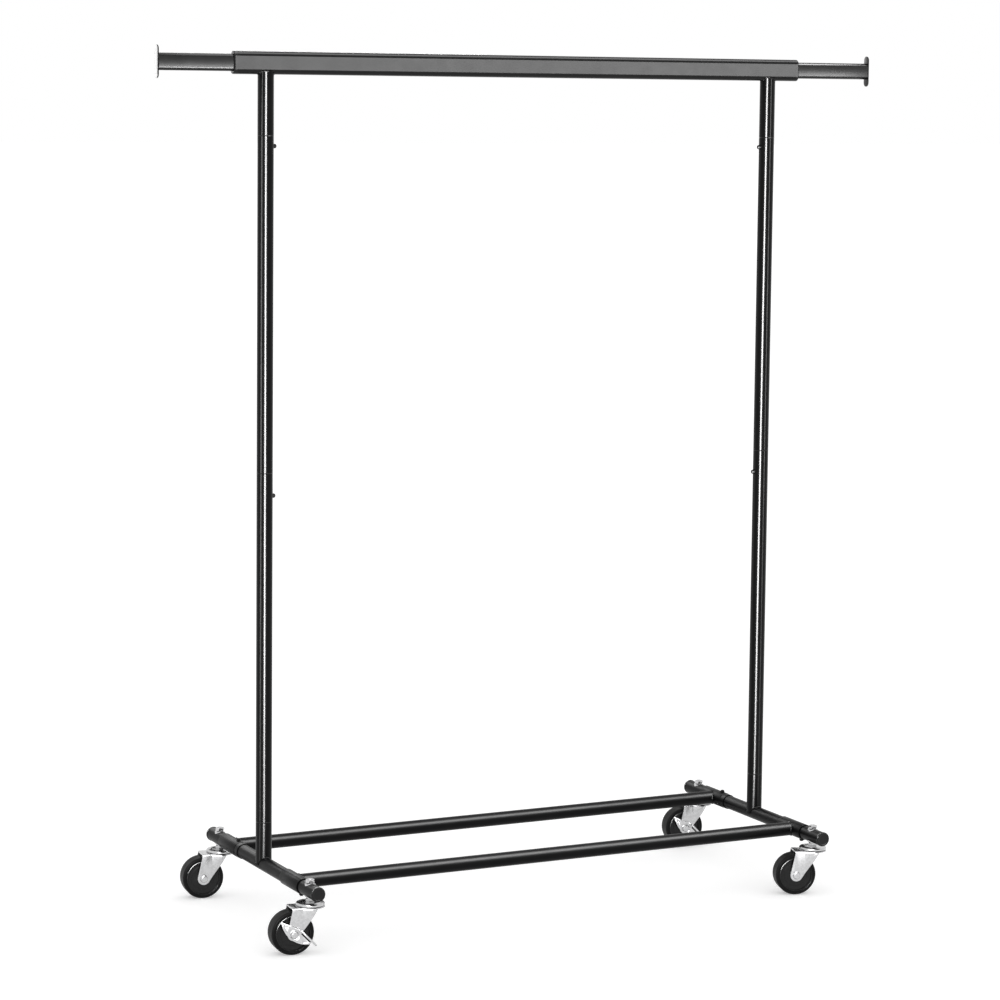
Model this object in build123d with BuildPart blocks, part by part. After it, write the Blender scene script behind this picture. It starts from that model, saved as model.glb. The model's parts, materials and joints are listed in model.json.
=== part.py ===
"""Rolling clothes rack: a telescopic hanging rail on two plug-together uprights and a tube base on casters.

Millimetres. X runs along the hanging rail, the front faces -Y and Z points up from the floor.
"""
import os
from dataclasses import dataclass
from math import cos, hypot, radians, sin, sqrt

from build123d import *

os.makedirs("parts", exist_ok=True)

# Overall sizes
rack_depth = 500.0
upright_spacing = 1014.0
rail_overhang = 62.5
left_bar_extension = 137.0
right_bar_extension = 155.0

# Heights of the upright pieces, from seam to seam
base_stub_height = 76.0
lower_upright_length = 624.0
upper_upright_length = 591.0
rail_stub_height = 126.0

# Clearances
weld_gap = 0.05
press_gap = 0.02
tube_clearance = 0.1
running_clearance = 0.06
button_clearance = 0.1
slide_clearance = 0.3

# Uprights and their spigots
upright_diameter = 28.6
upright_wall = 1.2
base_stub_wall = 1.5
spigot_length = 60.0
spigot_lead = 0.5
draw_length = 2.0
seam_chamfer = 0.5
upper_button_drop = 18.0
lower_button_drop = 41.0
rail_stub_rise = 5.5

# Hanging rail and its bushings
rail_height = 40.0
rail_depth = 20.0
rail_flat = 3.0
rail_wall = 1.5
bushing_flange = 6.0
bushing_round = 2.5
bushing_insert = 60.0
bushing_side_wall = 0.6
bushing_edge_wall = 3.1

# Extension bars
bar_flat = 2.0
bar_wall = 1.2
bar_length = 280.0
guide_length = 12.0
guide_plug_length = 25.0
end_plate_height = 57.0
end_plate_thickness = 2.0

# Base
base_tube_diameter = 25.4
base_tube_wall = 1.5
base_rail_wall = 1.2
base_rail_inset = 103.0
sleeve_length = 78.0
sleeve_wall = 1.7
collar_length = 13.0
collar_wall = 1.3
cap_lip = 4.0
cap_overhang = 0.6
cap_round = 1.8
cap_plug_length = 15.0
front_button_inset = 12.0
back_button_inset = 12.5

# Snap buttons
stud_diameter = 8.0
stud_collar_diameter = 10.0
stud_collar_thickness = 1.5
stud_round = 2.8
upright_button_reach = 5.5
sleeve_button_reach = 4.5
spring_thickness = 0.5
spring_width = 6.0
spring_length = 34.0
spring_pad = 5.0

# Casters
caster_inset = 37.0
caster_trail = 34.5
wheel_diameter = 76.0
wheel_width = 32.0
wheel_shoulder = 4.5
wheel_rim_face = 7.0
wheel_dish = 3.0
hub_diameter = 24.0
hub_overhang = 1.0
hub_side_gap = 0.5
axle_diameter = 8.0
axle_head_diameter = 14.0
axle_head_height = 4.0
axle_head_round = 3.5
bush_wall = 1.5
bush_side_gap = 0.2
leg_sheet = 2.0
leg_boss_radius = 11.5
plate_rear = -37.0
leg_crease = -19.0
leg_front = 6.0
plate_thickness = 2.5
plate_round = 1.6
head_radius = 26.0
wheel_head_room = 4.2
ball_diameter = 4.0
ball_circle_radius = 16.0
ball_count = 14
race_depth = 0.7
race_clearance = 0.3
raceway_diameter = 51.0
raceway_sheet = 1.8
raceway_rim_drop = 4.65
raceway_slope = 4.0
stem_diameter = 9.5
stem_hex_height = 5.8
stem_end = 0.8
stem_chamfer = 0.8
kingpin_head_diameter = 16.0
kingpin_head_height = 2.5
nut_across_flats = 14.3
nut_height = 5.5
nut_chamfer = 0.7
washer_diameter = 19.0
washer_thickness = 1.3

# Brake levers, in a frame at the axle whose first axis runs along the lever towards the pedal
lever_sheet = 2.0
lever_gap = 0.3
lever_head_gap = 0.2
lever_tilt = -39.4
lever_tip = 32.7
lever_rise = 3.0
lever_belly = 10.0
lever_crown = 13.5
pedal_start = 3.0
pedal_end = 43.0
pedal_fall = 4.5
pedal_width = 10.0
leaf_end = 34.0
leaf_tip_round = 2.5

# Sizes that follow from the above
upright_radius = upright_diameter / 2
upright_bore = upright_radius - upright_wall
base_stub_bore = upright_radius - base_stub_wall
spigot_radius = upright_bore - tube_clearance
spigot_bore = spigot_radius - upright_wall
half_spacing = upright_spacing / 2
rail_half = half_spacing + rail_overhang
rail_tube_half = rail_half - bushing_flange
rail_corner = (rail_depth - rail_flat) / 2
rail_inner_depth = rail_depth - 2 * rail_wall
rail_inner_height = rail_height - 2 * rail_wall
rail_inner_corner = rail_corner - rail_wall
bar_depth = rail_inner_depth - 2 * (tube_clearance + bushing_side_wall + slide_clearance)
bar_height = rail_inner_height - 2 * (tube_clearance + bushing_edge_wall + slide_clearance)
bar_corner = (bar_depth - bar_flat) / 2
base_radius = base_tube_diameter / 2
base_bore = base_radius - base_tube_wall
sleeve_bore = base_radius + tube_clearance
sleeve_radius = sleeve_bore + sleeve_wall
seat_radius = base_radius + weld_gap
crossbar_length = rack_depth - 2 * cap_lip
caster_offset = rack_depth / 2 - caster_inset
base_rail_offset = rack_depth / 2 - base_rail_inset
sleeve_inner_end = base_rail_offset - sleeve_length / 2
sleeve_outer_end = base_rail_offset + sleeve_length / 2

axle_height = wheel_diameter / 2
axle_radius = axle_diameter / 2
hub_half = wheel_width / 2 + hub_overhang
leg_inner = hub_half + hub_side_gap
leg_outer = leg_inner + leg_sheet
plate_bottom = wheel_diameter + wheel_head_room
plate_top = plate_bottom + plate_thickness
ball_radius = ball_diameter / 2
ball_height = plate_top - race_depth + race_clearance + ball_radius
raceway_underside = ball_height + ball_radius + weld_gap
raceway_top = raceway_underside + raceway_sheet
raceway_radius = raceway_diameter / 2
stem_radius = stem_diameter / 2
hex_top = raceway_top + stem_hex_height
crossbar_height = hex_top + washer_thickness + seat_radius
nut_bottom = crossbar_height + seat_radius + washer_thickness
nut_top = nut_bottom + nut_height
kingpin_top = plate_bottom - race_clearance

lower_seam = crossbar_height + base_stub_height
middle_seam = lower_seam + lower_upright_length
upper_seam = middle_seam + upper_upright_length
hang_rail_height = upper_seam + rail_stub_height
upper_button_height = upper_seam - upper_button_drop
lower_button_height = middle_seam - lower_button_drop
button_hole_radius = stud_diameter / 2 + button_clearance


@dataclass(frozen=True)
class Side:
    """Left or right half of the rack."""

    name: str
    sign: int
    bar_extension: float

    @property
    def x(self):
        """Place of the upright along the rail."""
        return self.sign * half_spacing

    @property
    def inward(self):
        """Direction towards the middle of the rack."""
        return Vector(-self.sign, 0, 0)

    @property
    def section(self):
        """Plane through the upright axis, radius along X and height along Z."""
        return Plane(origin=(self.x, 0, 0), x_dir=(1, 0, 0), z_dir=(0, -1, 0))

    @property
    def axis(self):
        """Axis of the upright."""
        return Axis((self.x, 0, 0), (0, 0, 1))

    @property
    def bar_outer_end(self):
        """Distance from the middle to the outer end of the extension bar."""
        return rail_half + self.bar_extension

    @property
    def bar_inner_end(self):
        """Distance from the middle to the inner end of the extension bar."""
        return self.bar_outer_end - bar_length

    def rail_end(self, x):
        """Plane across the hanging rail at distance x from the middle, facing outwards."""
        return Plane(origin=(self.sign * x, 0, hang_rail_height), x_dir=(0, 1, 0), z_dir=(self.sign, 0, 0))

    def button_plane(self, height):
        """Plane at the upright axis, facing inwards along a snap button."""
        return Plane(origin=(self.x, 0, height), x_dir=(0, 0, 1), z_dir=self.inward)

    def across(self, y):
        """Plane across the crossbar at y, facing the back."""
        return Plane(origin=(self.x, y, crossbar_height), x_dir=(-1, 0, 0), z_dir=(0, 1, 0))


@dataclass(frozen=True)
class Corner:
    """One corner of the base, with its sleeve and its caster."""

    name: str
    side: Side
    end: int
    turn: float
    braked: bool

    @property
    def floor(self):
        """Plane on the floor under the stem, its first axis against the trail."""
        facing = (cos(radians(self.turn)), sin(radians(self.turn)), 0)
        return Plane(origin=(self.side.x, self.end * caster_offset, 0), x_dir=facing, z_dir=(0, 0, 1))

    @property
    def profile(self):
        """Plane through the stem along the wheel, facing the front."""
        return Plane(origin=self.floor.origin, x_dir=self.floor.x_dir, z_dir=-self.floor.y_dir)

    @property
    def axle_centre(self):
        """Middle of the axle."""
        return self.floor.from_local_coords(Vector(-caster_trail, 0, axle_height))

    @property
    def axle_section(self):
        """Plane through the axle, first axis along it and second axis upwards."""
        return Plane(origin=self.axle_centre, x_dir=self.floor.y_dir, z_dir=self.floor.x_dir)

    @property
    def axle_axis(self):
        """Axis of the wheel."""
        return Axis(self.axle_centre, self.floor.y_dir)

    @property
    def axle_front(self):
        """Plane across the axle at the wheel's middle, facing the front."""
        return Plane(origin=self.axle_centre, x_dir=self.floor.x_dir, z_dir=-self.floor.y_dir)

    @property
    def lever(self):
        """Plane at the axle, facing the front, with its first axis along the brake lever."""
        along = self.floor.x_dir * cos(radians(lever_tilt)) + Vector(0, 0, sin(radians(lever_tilt)))
        return Plane(origin=self.axle_centre, x_dir=along, z_dir=-self.floor.y_dir)

    @property
    def stem_plane(self):
        """Level plane at the stem, on the floor."""
        return Plane(origin=self.floor.origin, x_dir=(1, 0, 0), z_dir=(0, 0, 1))

    @property
    def button_y(self):
        """Place of the sleeve's snap button along the crossbar."""
        if self.end < 0:
            return -(sleeve_outer_end - front_button_inset)
        return sleeve_inner_end + back_button_inset

    @property
    def button_plane(self):
        """Plane on the crossbar axis facing along the button: down at the front, up at the back."""
        centre = (self.side.x, self.button_y, crossbar_height)
        return Plane(origin=centre, x_dir=(0, -self.end, 0), z_dir=(0, 0, self.end))


@dataclass(frozen=True)
class SnapButton:
    """Spring button that stands through the wall of a tube and of the tube round it."""

    name: str
    plane: Plane
    bore: float
    tip: float

    @property
    def seat(self):
        """Distance from the tube axis to the outer face of the button's collar."""
        return sqrt(self.bore**2 - (stud_collar_diameter / 2) ** 2) - slide_clearance

    @property
    def back(self):
        """Distance from the tube axis to the inner face of the button's collar."""
        return self.seat - stud_collar_thickness

    @property
    def spring_section(self):
        """Plane through the tube axis: first axis along the tube, second axis along the button."""
        return Plane(origin=self.plane.origin, x_dir=self.plane.x_dir, z_dir=-self.plane.y_dir)


def ring(outer_radius, inner_radius):
    """Draw a ring in the open sketch."""
    Circle(outer_radius)
    Circle(inner_radius, mode=Mode.SUBTRACT)


def oval_tube(depth, height, corner, wall):
    """Draw the section of a flat oval tube in the open sketch."""
    RectangleRounded(depth, height, corner)
    RectangleRounded(depth - 2 * wall, height - 2 * wall, corner - wall, mode=Mode.SUBTRACT)


def spigot_tube(bore, far_end, seam, tip):
    """Draw the half section of a tube from far_end to the seam, drawn in to a spigot that ends at tip."""
    out = 1 if tip > seam else -1
    with BuildLine() as outline:
        Polyline(
            (bore, far_end),
            (upright_radius - seam_chamfer, far_end),
            (upright_radius, far_end + out * seam_chamfer),
            (upright_radius, seam - out * seam_chamfer),
            (upright_radius - seam_chamfer, seam),
            (spigot_radius, seam),
            (spigot_radius, tip - out * spigot_lead),
            (spigot_radius - spigot_lead, tip),
            (spigot_bore, tip),
            (spigot_bore, seam - out * draw_length),
            (bore, seam - out * 2 * draw_length),
            close=True,
        )
    make_face(outline.edges())


left = Side("left", -1, left_bar_extension)
right = Side("right", 1, right_bar_extension)
sides = (left, right)
corners = (
    Corner("front_left", left, -1, -6.0, True),
    Corner("back_left", left, 1, -8.0, False),
    Corner("front_right", right, -1, -17.0, False),
    Corner("back_right", right, 1, -9.0, True),
)

# Hanging rail: flat oval tube between the flanges of its two bushings
with BuildPart() as hang_rail:
    with BuildSketch(left.rail_end(rail_tube_half)):
        oval_tube(rail_depth, rail_height, rail_corner, rail_wall)
    extrude(amount=-2 * rail_tube_half)
hang_rail.part.label = "hang_rail"
export_step(hang_rail.part, "parts/hang_rail.step")

# Rail ends: bushing in the rail, bar through the bushing, guide and plate on the ends of the bar
for side in sides:
    with BuildPart() as rail_bushing:
        with BuildSketch(side.rail_end(rail_tube_half)):
            RectangleRounded(rail_depth, rail_height, rail_corner)
        extrude(amount=bushing_flange)
        fillet(rail_bushing.faces().sort_by(Axis.X)[-1 if side.sign > 0 else 0].edges(), bushing_round)
        with BuildSketch(side.rail_end(rail_tube_half)):
            RectangleRounded(
                rail_inner_depth - 2 * tube_clearance,
                rail_inner_height - 2 * tube_clearance,
                rail_inner_corner - tube_clearance,
            )
        extrude(amount=-bushing_insert)
        with BuildSketch(side.rail_end(rail_tube_half - bushing_insert)):
            RectangleRounded(
                bar_depth + 2 * slide_clearance,
                bar_height + 2 * slide_clearance,
                bar_corner + slide_clearance,
            )
        extrude(amount=bushing_insert + bushing_flange, mode=Mode.SUBTRACT)
    rail_bushing.part.label = f"{side.name}_rail_bushing"
    export_step(rail_bushing.part, f"parts/{side.name}_rail_bushing.step")

    with BuildPart() as extension_bar:
        with BuildSketch(side.rail_end(side.bar_outer_end)):
            oval_tube(bar_depth, bar_height, bar_corner, bar_wall)
        extrude(amount=-bar_length)
    extension_bar.part.label = f"{side.name}_extension_bar"
    export_step(extension_bar.part, f"parts/{side.name}_extension_bar.step")

    with BuildPart() as end_plate:
        with BuildSketch(side.rail_end(side.bar_outer_end)):
            SlotOverall(end_plate_height, bar_depth, rotation=90)
        extrude(amount=end_plate_thickness)
    end_plate.part.label = f"{side.name}_end_plate"
    export_step(end_plate.part, f"parts/{side.name}_end_plate.step")

    with BuildPart() as bar_guide:
        with BuildSketch(side.rail_end(side.bar_inner_end)):
            RectangleRounded(
                rail_inner_depth - 2 * slide_clearance,
                rail_inner_height - 2 * slide_clearance,
                rail_inner_corner - slide_clearance,
            )
        extrude(amount=-guide_length)
        with BuildSketch(side.rail_end(side.bar_inner_end)):
            RectangleRounded(
                bar_depth - 2 * (bar_wall + tube_clearance),
                bar_height - 2 * (bar_wall + tube_clearance),
                bar_corner - bar_wall - tube_clearance,
            )
        extrude(amount=guide_plug_length)
    bar_guide.part.label = f"{side.name}_bar_guide"
    export_step(bar_guide.part, f"parts/{side.name}_bar_guide.step")

# Uprights: rail stub, upper and lower upright and base stub, each plugged into the next
rail_stub_top = hang_rail_height - rail_height / 2 + rail_stub_rise

for side in sides:
    with BuildPart() as rail_stub:
        with BuildSketch(side.section):
            spigot_tube(upright_bore, rail_stub_top, upper_seam, upper_seam - spigot_length)
        revolve(axis=side.axis)
        with BuildSketch(side.rail_end(half_spacing - upright_diameter)):
            RectangleRounded(rail_depth + 2 * weld_gap, rail_height + 2 * weld_gap, rail_corner + weld_gap)
        extrude(amount=2 * upright_diameter, mode=Mode.SUBTRACT)
        with BuildSketch(side.button_plane(upper_button_height)):
            Circle(button_hole_radius)
        extrude(amount=upright_diameter, mode=Mode.SUBTRACT)
    rail_stub.part.label = f"{side.name}_rail_stub"
    export_step(rail_stub.part, f"parts/{side.name}_rail_stub.step")

    with BuildPart() as upper_upright:
        with BuildSketch(side.section):
            spigot_tube(upright_bore, upper_seam, middle_seam, middle_seam - spigot_length)
        revolve(axis=side.axis)
        for height in (upper_button_height, lower_button_height):
            with BuildSketch(side.button_plane(height)):
                Circle(button_hole_radius)
        extrude(amount=upright_diameter, mode=Mode.SUBTRACT)
    upper_upright.part.label = f"{side.name}_upper_upright"
    export_step(upper_upright.part, f"parts/{side.name}_upper_upright.step")

    with BuildPart() as lower_upright:
        with BuildSketch(Plane(origin=(side.x, 0, lower_seam))):
            ring(upright_radius, upright_bore)
        extrude(amount=lower_upright_length)
        rims = lower_upright.edges().filter_by(GeomType.CIRCLE)
        chamfer(rims.filter_by(lambda rim: rim.radius > upright_bore + upright_wall / 2), seam_chamfer)
        with BuildSketch(side.button_plane(lower_button_height)):
            Circle(button_hole_radius)
        extrude(amount=upright_diameter, mode=Mode.SUBTRACT)
    lower_upright.part.label = f"{side.name}_lower_upright"
    export_step(lower_upright.part, f"parts/{side.name}_lower_upright.step")

    with BuildPart() as base_stub:
        with BuildSketch(side.section):
            spigot_tube(base_stub_bore, crossbar_height, lower_seam, lower_seam + spigot_length)
        revolve(axis=side.axis)
        with BuildSketch(side.across(-upright_diameter)):
            Circle(seat_radius)
        extrude(amount=2 * upright_diameter, mode=Mode.SUBTRACT)
    base_stub.part.label = f"{side.name}_base_stub"
    export_step(base_stub.part, f"parts/{side.name}_base_stub.step")

# Crossbars: tube from front to back, drilled for the stems and the sleeve buttons
for side in sides:
    with BuildPart() as crossbar:
        with BuildSketch(side.across(-crossbar_length / 2)):
            ring(base_radius, base_bore)
        extrude(amount=crossbar_length)
        for corner in corners:
            if corner.side == side:
                with BuildSketch(corner.stem_plane):
                    Circle(stem_radius + tube_clearance)
                extrude(amount=nut_top, mode=Mode.SUBTRACT)
                with BuildSketch(corner.button_plane):
                    Circle(button_hole_radius)
                extrude(amount=base_tube_diameter, mode=Mode.SUBTRACT)
    crossbar.part.label = f"{side.name}_crossbar"
    export_step(crossbar.part, f"parts/{side.name}_crossbar.step")

# Base rails: tube between the uprights, coped to the round of the sleeves
for name, end in (("front", -1), ("back", 1)):
    with BuildPart() as base_rail:
        middle = Plane(origin=(0, end * base_rail_offset, crossbar_height), x_dir=(0, 1, 0), z_dir=(1, 0, 0))
        with BuildSketch(middle):
            ring(base_radius, base_radius - base_rail_wall)
        extrude(amount=half_spacing, both=True)
        for side in sides:
            with BuildSketch(side.across(end * base_rail_offset - base_tube_diameter)):
                Circle(sleeve_radius + weld_gap)
            extrude(amount=2 * base_tube_diameter, mode=Mode.SUBTRACT)
    base_rail.part.label = f"{name}_base_rail"
    export_step(base_rail.part, f"parts/{name}_base_rail.step")

# Sleeves of the base rails, pushed over the crossbars and held by their buttons
for corner in corners:
    with BuildPart() as sleeve:
        with BuildSketch(corner.side.across(corner.end * base_rail_offset - sleeve_length / 2)):
            ring(sleeve_radius, sleeve_bore)
        extrude(amount=sleeve_length)
        with BuildSketch(corner.button_plane):
            Circle(button_hole_radius)
        extrude(amount=base_tube_diameter, mode=Mode.SUBTRACT)
    sleeve.part.label = f"{corner.name}_sleeve"
    export_step(sleeve.part, f"parts/{corner.name}_sleeve.step")

# Stop collars pressed on the crossbars beside the back sleeves
with BuildPart() as stop_collars:
    for side in sides:
        with BuildSketch(side.across(sleeve_inner_end - collar_length)):
            ring(base_radius + press_gap + collar_wall, base_radius + press_gap)
        extrude(amount=collar_length)
stop_collars.part.label = "stop_collars"
export_step(stop_collars.part, "parts/stop_collars.step")

# Plastic caps in the crossbar ends, with a rounded lip
with BuildPart() as crossbar_end_caps:
    for corner in corners:
        with BuildSketch(corner.side.across(corner.end * crossbar_length / 2)):
            Circle(base_radius + cap_overhang)
        extrude(amount=corner.end * cap_lip)
    for end in (0, -1):
        fillet(crossbar_end_caps.faces().group_by(Axis.Y)[end].edges(), cap_round)
    for corner in corners:
        with BuildSketch(corner.side.across(corner.end * crossbar_length / 2)):
            Circle(base_bore - tube_clearance)
        extrude(amount=-corner.end * cap_plug_length)
crossbar_end_caps.part.label = "crossbar_end_caps"
export_step(crossbar_end_caps.part, "parts/crossbar_end_caps.step")

# Stem nuts on top of the crossbars
with BuildPart() as stem_nuts:
    for corner in corners:
        with BuildSketch(corner.stem_plane.offset(nut_bottom)):
            RegularPolygon(nut_across_flats / 2, 6, major_radius=False)
        extrude(amount=nut_height)
    chamfer(stem_nuts.faces().group_by(Axis.Z)[-1].edges(), nut_chamfer)
    for corner in corners:
        with BuildSketch(corner.stem_plane.offset(nut_bottom)):
            Circle(stem_radius + press_gap)
        extrude(amount=nut_height, mode=Mode.SUBTRACT)
stem_nuts.part.label = "stem_nuts"
export_step(stem_nuts.part, "parts/stem_nuts.step")

# Curved washers above and below the crossbars, bent to the round of the tube
with BuildPart() as stem_washers:
    for side in sides:
        with BuildSketch(side.across(-rack_depth / 2)):
            ring(seat_radius + washer_thickness, seat_radius)
        extrude(amount=rack_depth)
    with BuildSketch(Plane.XY.offset(hex_top)):
        with Locations(*[corner.stem_plane.origin for corner in corners]):
            ring(washer_diameter / 2, stem_radius + tube_clearance)
    extrude(amount=nut_bottom - hex_top, mode=Mode.INTERSECT)
stem_washers.part.label = "stem_washers"
export_step(stem_washers.part, "parts/stem_washers.step")

# Caster stems: riveted head under the fork, hexagon shoulder under the crossbar, end above the nut
with BuildPart() as caster_stems:
    for corner in corners:
        with BuildSketch(corner.stem_plane.offset(kingpin_top - kingpin_head_height)):
            Circle(stem_radius)
        extrude(amount=nut_top + stem_end - kingpin_top + kingpin_head_height)
    chamfer(caster_stems.faces().group_by(Axis.Z)[-1].edges(), stem_chamfer)
    for corner in corners:
        with BuildSketch(corner.stem_plane.offset(kingpin_top)):
            Circle(kingpin_head_diameter / 2)
        extrude(amount=-kingpin_head_height)
        with BuildSketch(corner.stem_plane.offset(raceway_top)):
            RegularPolygon(nut_across_flats / 2, 6, major_radius=False)
        extrude(amount=stem_hex_height)
caster_stems.part.label = "caster_stems"
export_step(caster_stems.part, "parts/caster_stems.step")

# Raceway caps: pressed dishes on the stems that run over the balls
raceway_rim = raceway_top - raceway_rim_drop
rim_inner_radius = raceway_radius - raceway_sheet
with BuildPart() as raceway_caps:
    for corner in corners:
        stem = corner.stem_plane
        with BuildSketch(Plane(origin=stem.origin, x_dir=(1, 0, 0), z_dir=(0, -1, 0))):
            with BuildLine():
                Polyline(
                    (stem_radius + press_gap, raceway_underside),
                    (rim_inner_radius - raceway_sheet, raceway_underside),
                    (rim_inner_radius, raceway_underside - raceway_sheet),
                    (rim_inner_radius, raceway_rim),
                    (raceway_radius, raceway_rim),
                    (raceway_radius, raceway_underside),
                    (raceway_radius - raceway_slope, raceway_top),
                    (stem_radius + press_gap, raceway_top),
                    close=True,
                )
            make_face()
        revolve(axis=Axis(stem.origin, (0, 0, 1)))
raceway_caps.part.label = "raceway_caps"
export_step(raceway_caps.part, "parts/raceway_caps.step")

# Balls between the raceway caps and the forks
with BuildPart() as swivel_balls:
    for corner in corners:
        with Locations(corner.stem_plane.offset(ball_height)):
            with PolarLocations(ball_circle_radius, ball_count):
                Sphere(ball_radius)
swivel_balls.part.label = "swivel_balls"
export_step(swivel_balls.part, "parts/swivel_balls.step")

# Casters: fork with flared legs, wheel on a bush, riveted axle and brake lever
flare_run = -leg_crease
flare_rise = head_radius - leg_outer
flare_length = hypot(flare_run, flare_rise)
flare_cos = flare_run / flare_length
flare_sin = flare_rise / flare_length
crease_inset = leg_sheet * flare_sin / (1 + flare_cos)
leg_front_outer = sqrt(head_radius**2 - leg_front**2)
boss_rear = -caster_trail - leg_boss_radius
groove_radius = ball_radius + race_clearance
bush_radius = axle_radius + bush_wall
hub_radius = hub_diameter / 2
wheel_radius = wheel_diameter / 2
rim_radius = wheel_radius - wheel_rim_face
web_half = wheel_width / 2 - wheel_dish

for corner in corners:
    with BuildPart() as fork:
        with BuildSketch(corner.floor):
            with BuildLine():
                Polyline(
                    (boss_rear, leg_outer),
                    (leg_crease, leg_outer),
                    (0, head_radius),
                    (leg_front, leg_front_outer),
                    (leg_front, leg_front_outer - leg_sheet),
                    (crease_inset, head_radius - leg_sheet),
                    (leg_crease + crease_inset, leg_inner),
                    (boss_rear, leg_inner),
                    close=True,
                )
            make_face()
            mirror(about=Plane.XZ)
        extrude(amount=plate_bottom + (plate_thickness - plate_round) / 2)
        with BuildSketch(corner.profile):
            with Locations((-caster_trail, axle_height)):
                Circle(leg_boss_radius)
            with Locations(((plate_rear + leg_front) / 2, plate_bottom)):
                Rectangle(leg_front - plate_rear, plate_thickness)
            make_hull()
        extrude(amount=head_radius, both=True, mode=Mode.INTERSECT)
        with BuildSketch(corner.floor.offset(plate_bottom)):
            Circle(head_radius)
            Rectangle(head_radius, 2 * head_radius, align=(Align.MAX, Align.CENTER), mode=Mode.SUBTRACT)
            with BuildLine():
                Polyline(
                    (plate_rear, leg_outer),
                    (leg_crease, leg_outer),
                    (0, head_radius),
                    (0, -head_radius),
                    (leg_crease, -leg_outer),
                    (plate_rear, -leg_outer),
                    close=True,
                )
            make_face()
        extrude(amount=plate_thickness)
        fillet(fork.edges().group_by(Axis.Z)[-1], plate_round)
        with BuildSketch(corner.floor.offset(plate_bottom)):
            Circle(stem_radius + running_clearance)
        extrude(amount=plate_thickness, mode=Mode.SUBTRACT)
        with Locations(corner.floor.offset(plate_top - race_depth + groove_radius)):
            Torus(ball_circle_radius, groove_radius, mode=Mode.SUBTRACT)
        with BuildSketch(corner.axle_front):
            Circle(axle_radius + press_gap)
        extrude(amount=head_radius, both=True, mode=Mode.SUBTRACT)
    fork.part.label = f"{corner.name}_fork"
    export_step(fork.part, f"parts/{corner.name}_fork.step")

    with BuildPart() as wheel:
        with BuildSketch(corner.axle_section):
            with BuildLine():
                Polyline(
                    (0, bush_radius + running_clearance),
                    (hub_half, bush_radius + running_clearance),
                    (hub_half, hub_radius - wheel_dish / 2),
                    (web_half, hub_radius),
                    (web_half, rim_radius - wheel_dish / 2),
                    (wheel_width / 2, rim_radius),
                    (wheel_width / 2, wheel_radius),
                    (0, wheel_radius),
                    close=True,
                )
            make_face()
            mirror(about=Plane.YZ)
            fillet(vertices().group_by(Axis.Y)[-1], wheel_shoulder)
        revolve(axis=corner.axle_axis)
    wheel.part.label = f"{corner.name}_wheel"
    export_step(wheel.part, f"parts/{corner.name}_wheel.step")

    with BuildPart() as wheel_bush:
        with BuildSketch(corner.axle_front):
            ring(bush_radius, axle_radius + press_gap)
        extrude(amount=leg_inner - bush_side_gap, both=True)
    wheel_bush.part.label = f"{corner.name}_wheel_bush"
    export_step(wheel_bush.part, f"parts/{corner.name}_wheel_bush.step")

    front_head = leg_outer
    if corner.braked:
        front_head = leg_outer + lever_gap + lever_sheet + lever_head_gap
    with BuildPart() as axle:
        for face, out in ((front_head, 1), (-leg_outer, -1)):
            with BuildSketch(corner.axle_front.offset(face)):
                Circle(axle_head_diameter / 2)
            extrude(amount=out * axle_head_height)
        along = axle.faces().filter_by(GeomType.PLANE).sort_by(corner.axle_axis)
        fillet(along[0].edges() + along[-1].edges(), axle_head_round)
        with BuildSketch(corner.axle_front.offset(-leg_outer)):
            Circle(axle_radius)
        extrude(amount=front_head + leg_outer)
    axle.part.label = f"{corner.name}_axle"
    export_step(axle.part, f"parts/{corner.name}_axle.step")

    if corner.braked:
        with BuildPart() as brake_lever:
            with BuildSketch(corner.lever.offset(leg_outer + lever_gap)):
                with BuildLine():
                    ThreePointArc((-lever_tip, lever_rise), (0, -lever_belly), (leaf_end, lever_rise))
                    Line((leaf_end, lever_rise), (leaf_end, lever_crown - pedal_fall))
                    Line((leaf_end, lever_crown - pedal_fall), (pedal_start, lever_crown))
                    Line((pedal_start, lever_crown), (-lever_tip, lever_rise))
                make_face()
                fillet(vertices().group_by(Axis.X)[0], leaf_tip_round)
                Circle(axle_radius + running_clearance, mode=Mode.SUBTRACT)
            extrude(amount=lever_sheet)
            with BuildSketch(corner.lever.offset(leg_outer + lever_gap)):
                with BuildLine():
                    Polyline(
                        (pedal_start, lever_crown),
                        (pedal_end, lever_crown - pedal_fall),
                        (pedal_end, lever_crown - pedal_fall - lever_sheet),
                        (pedal_start, lever_crown - lever_sheet),
                        close=True,
                    )
                make_face()
            extrude(amount=pedal_width)
        brake_lever.part.label = f"{corner.name}_brake_lever"
        export_step(brake_lever.part, f"parts/{corner.name}_brake_lever.step")

# Snap buttons and the leaf springs behind them
upright_tip = upright_radius + upright_button_reach
sleeve_tip = sleeve_radius + sleeve_button_reach
button_rows = (("upper", upper_button_height), ("lower", lower_button_height))
buttons = [
    SnapButton(f"{side.name}_{row}_button", side.button_plane(height), spigot_bore, upright_tip)
    for side in sides
    for row, height in button_rows
]
buttons += [
    SnapButton(f"{corner.name}_sleeve_button", corner.button_plane, base_bore, sleeve_tip)
    for corner in corners
]

for button in buttons:
    with BuildPart() as stud:
        with BuildSketch(button.plane.offset(button.back)):
            Circle(stud_diameter / 2)
        extrude(amount=button.tip - button.back)
        along = stud.faces().sort_by(Axis(button.plane.origin, button.plane.z_dir))
        fillet(along[-1].edges(), stud_round)
        with BuildSketch(button.plane.offset(button.back)):
            Circle(stud_collar_diameter / 2)
        extrude(amount=stud_collar_thickness)
    stud.part.label = button.name
    export_step(stud.part, f"parts/{button.name}.step")

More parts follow.
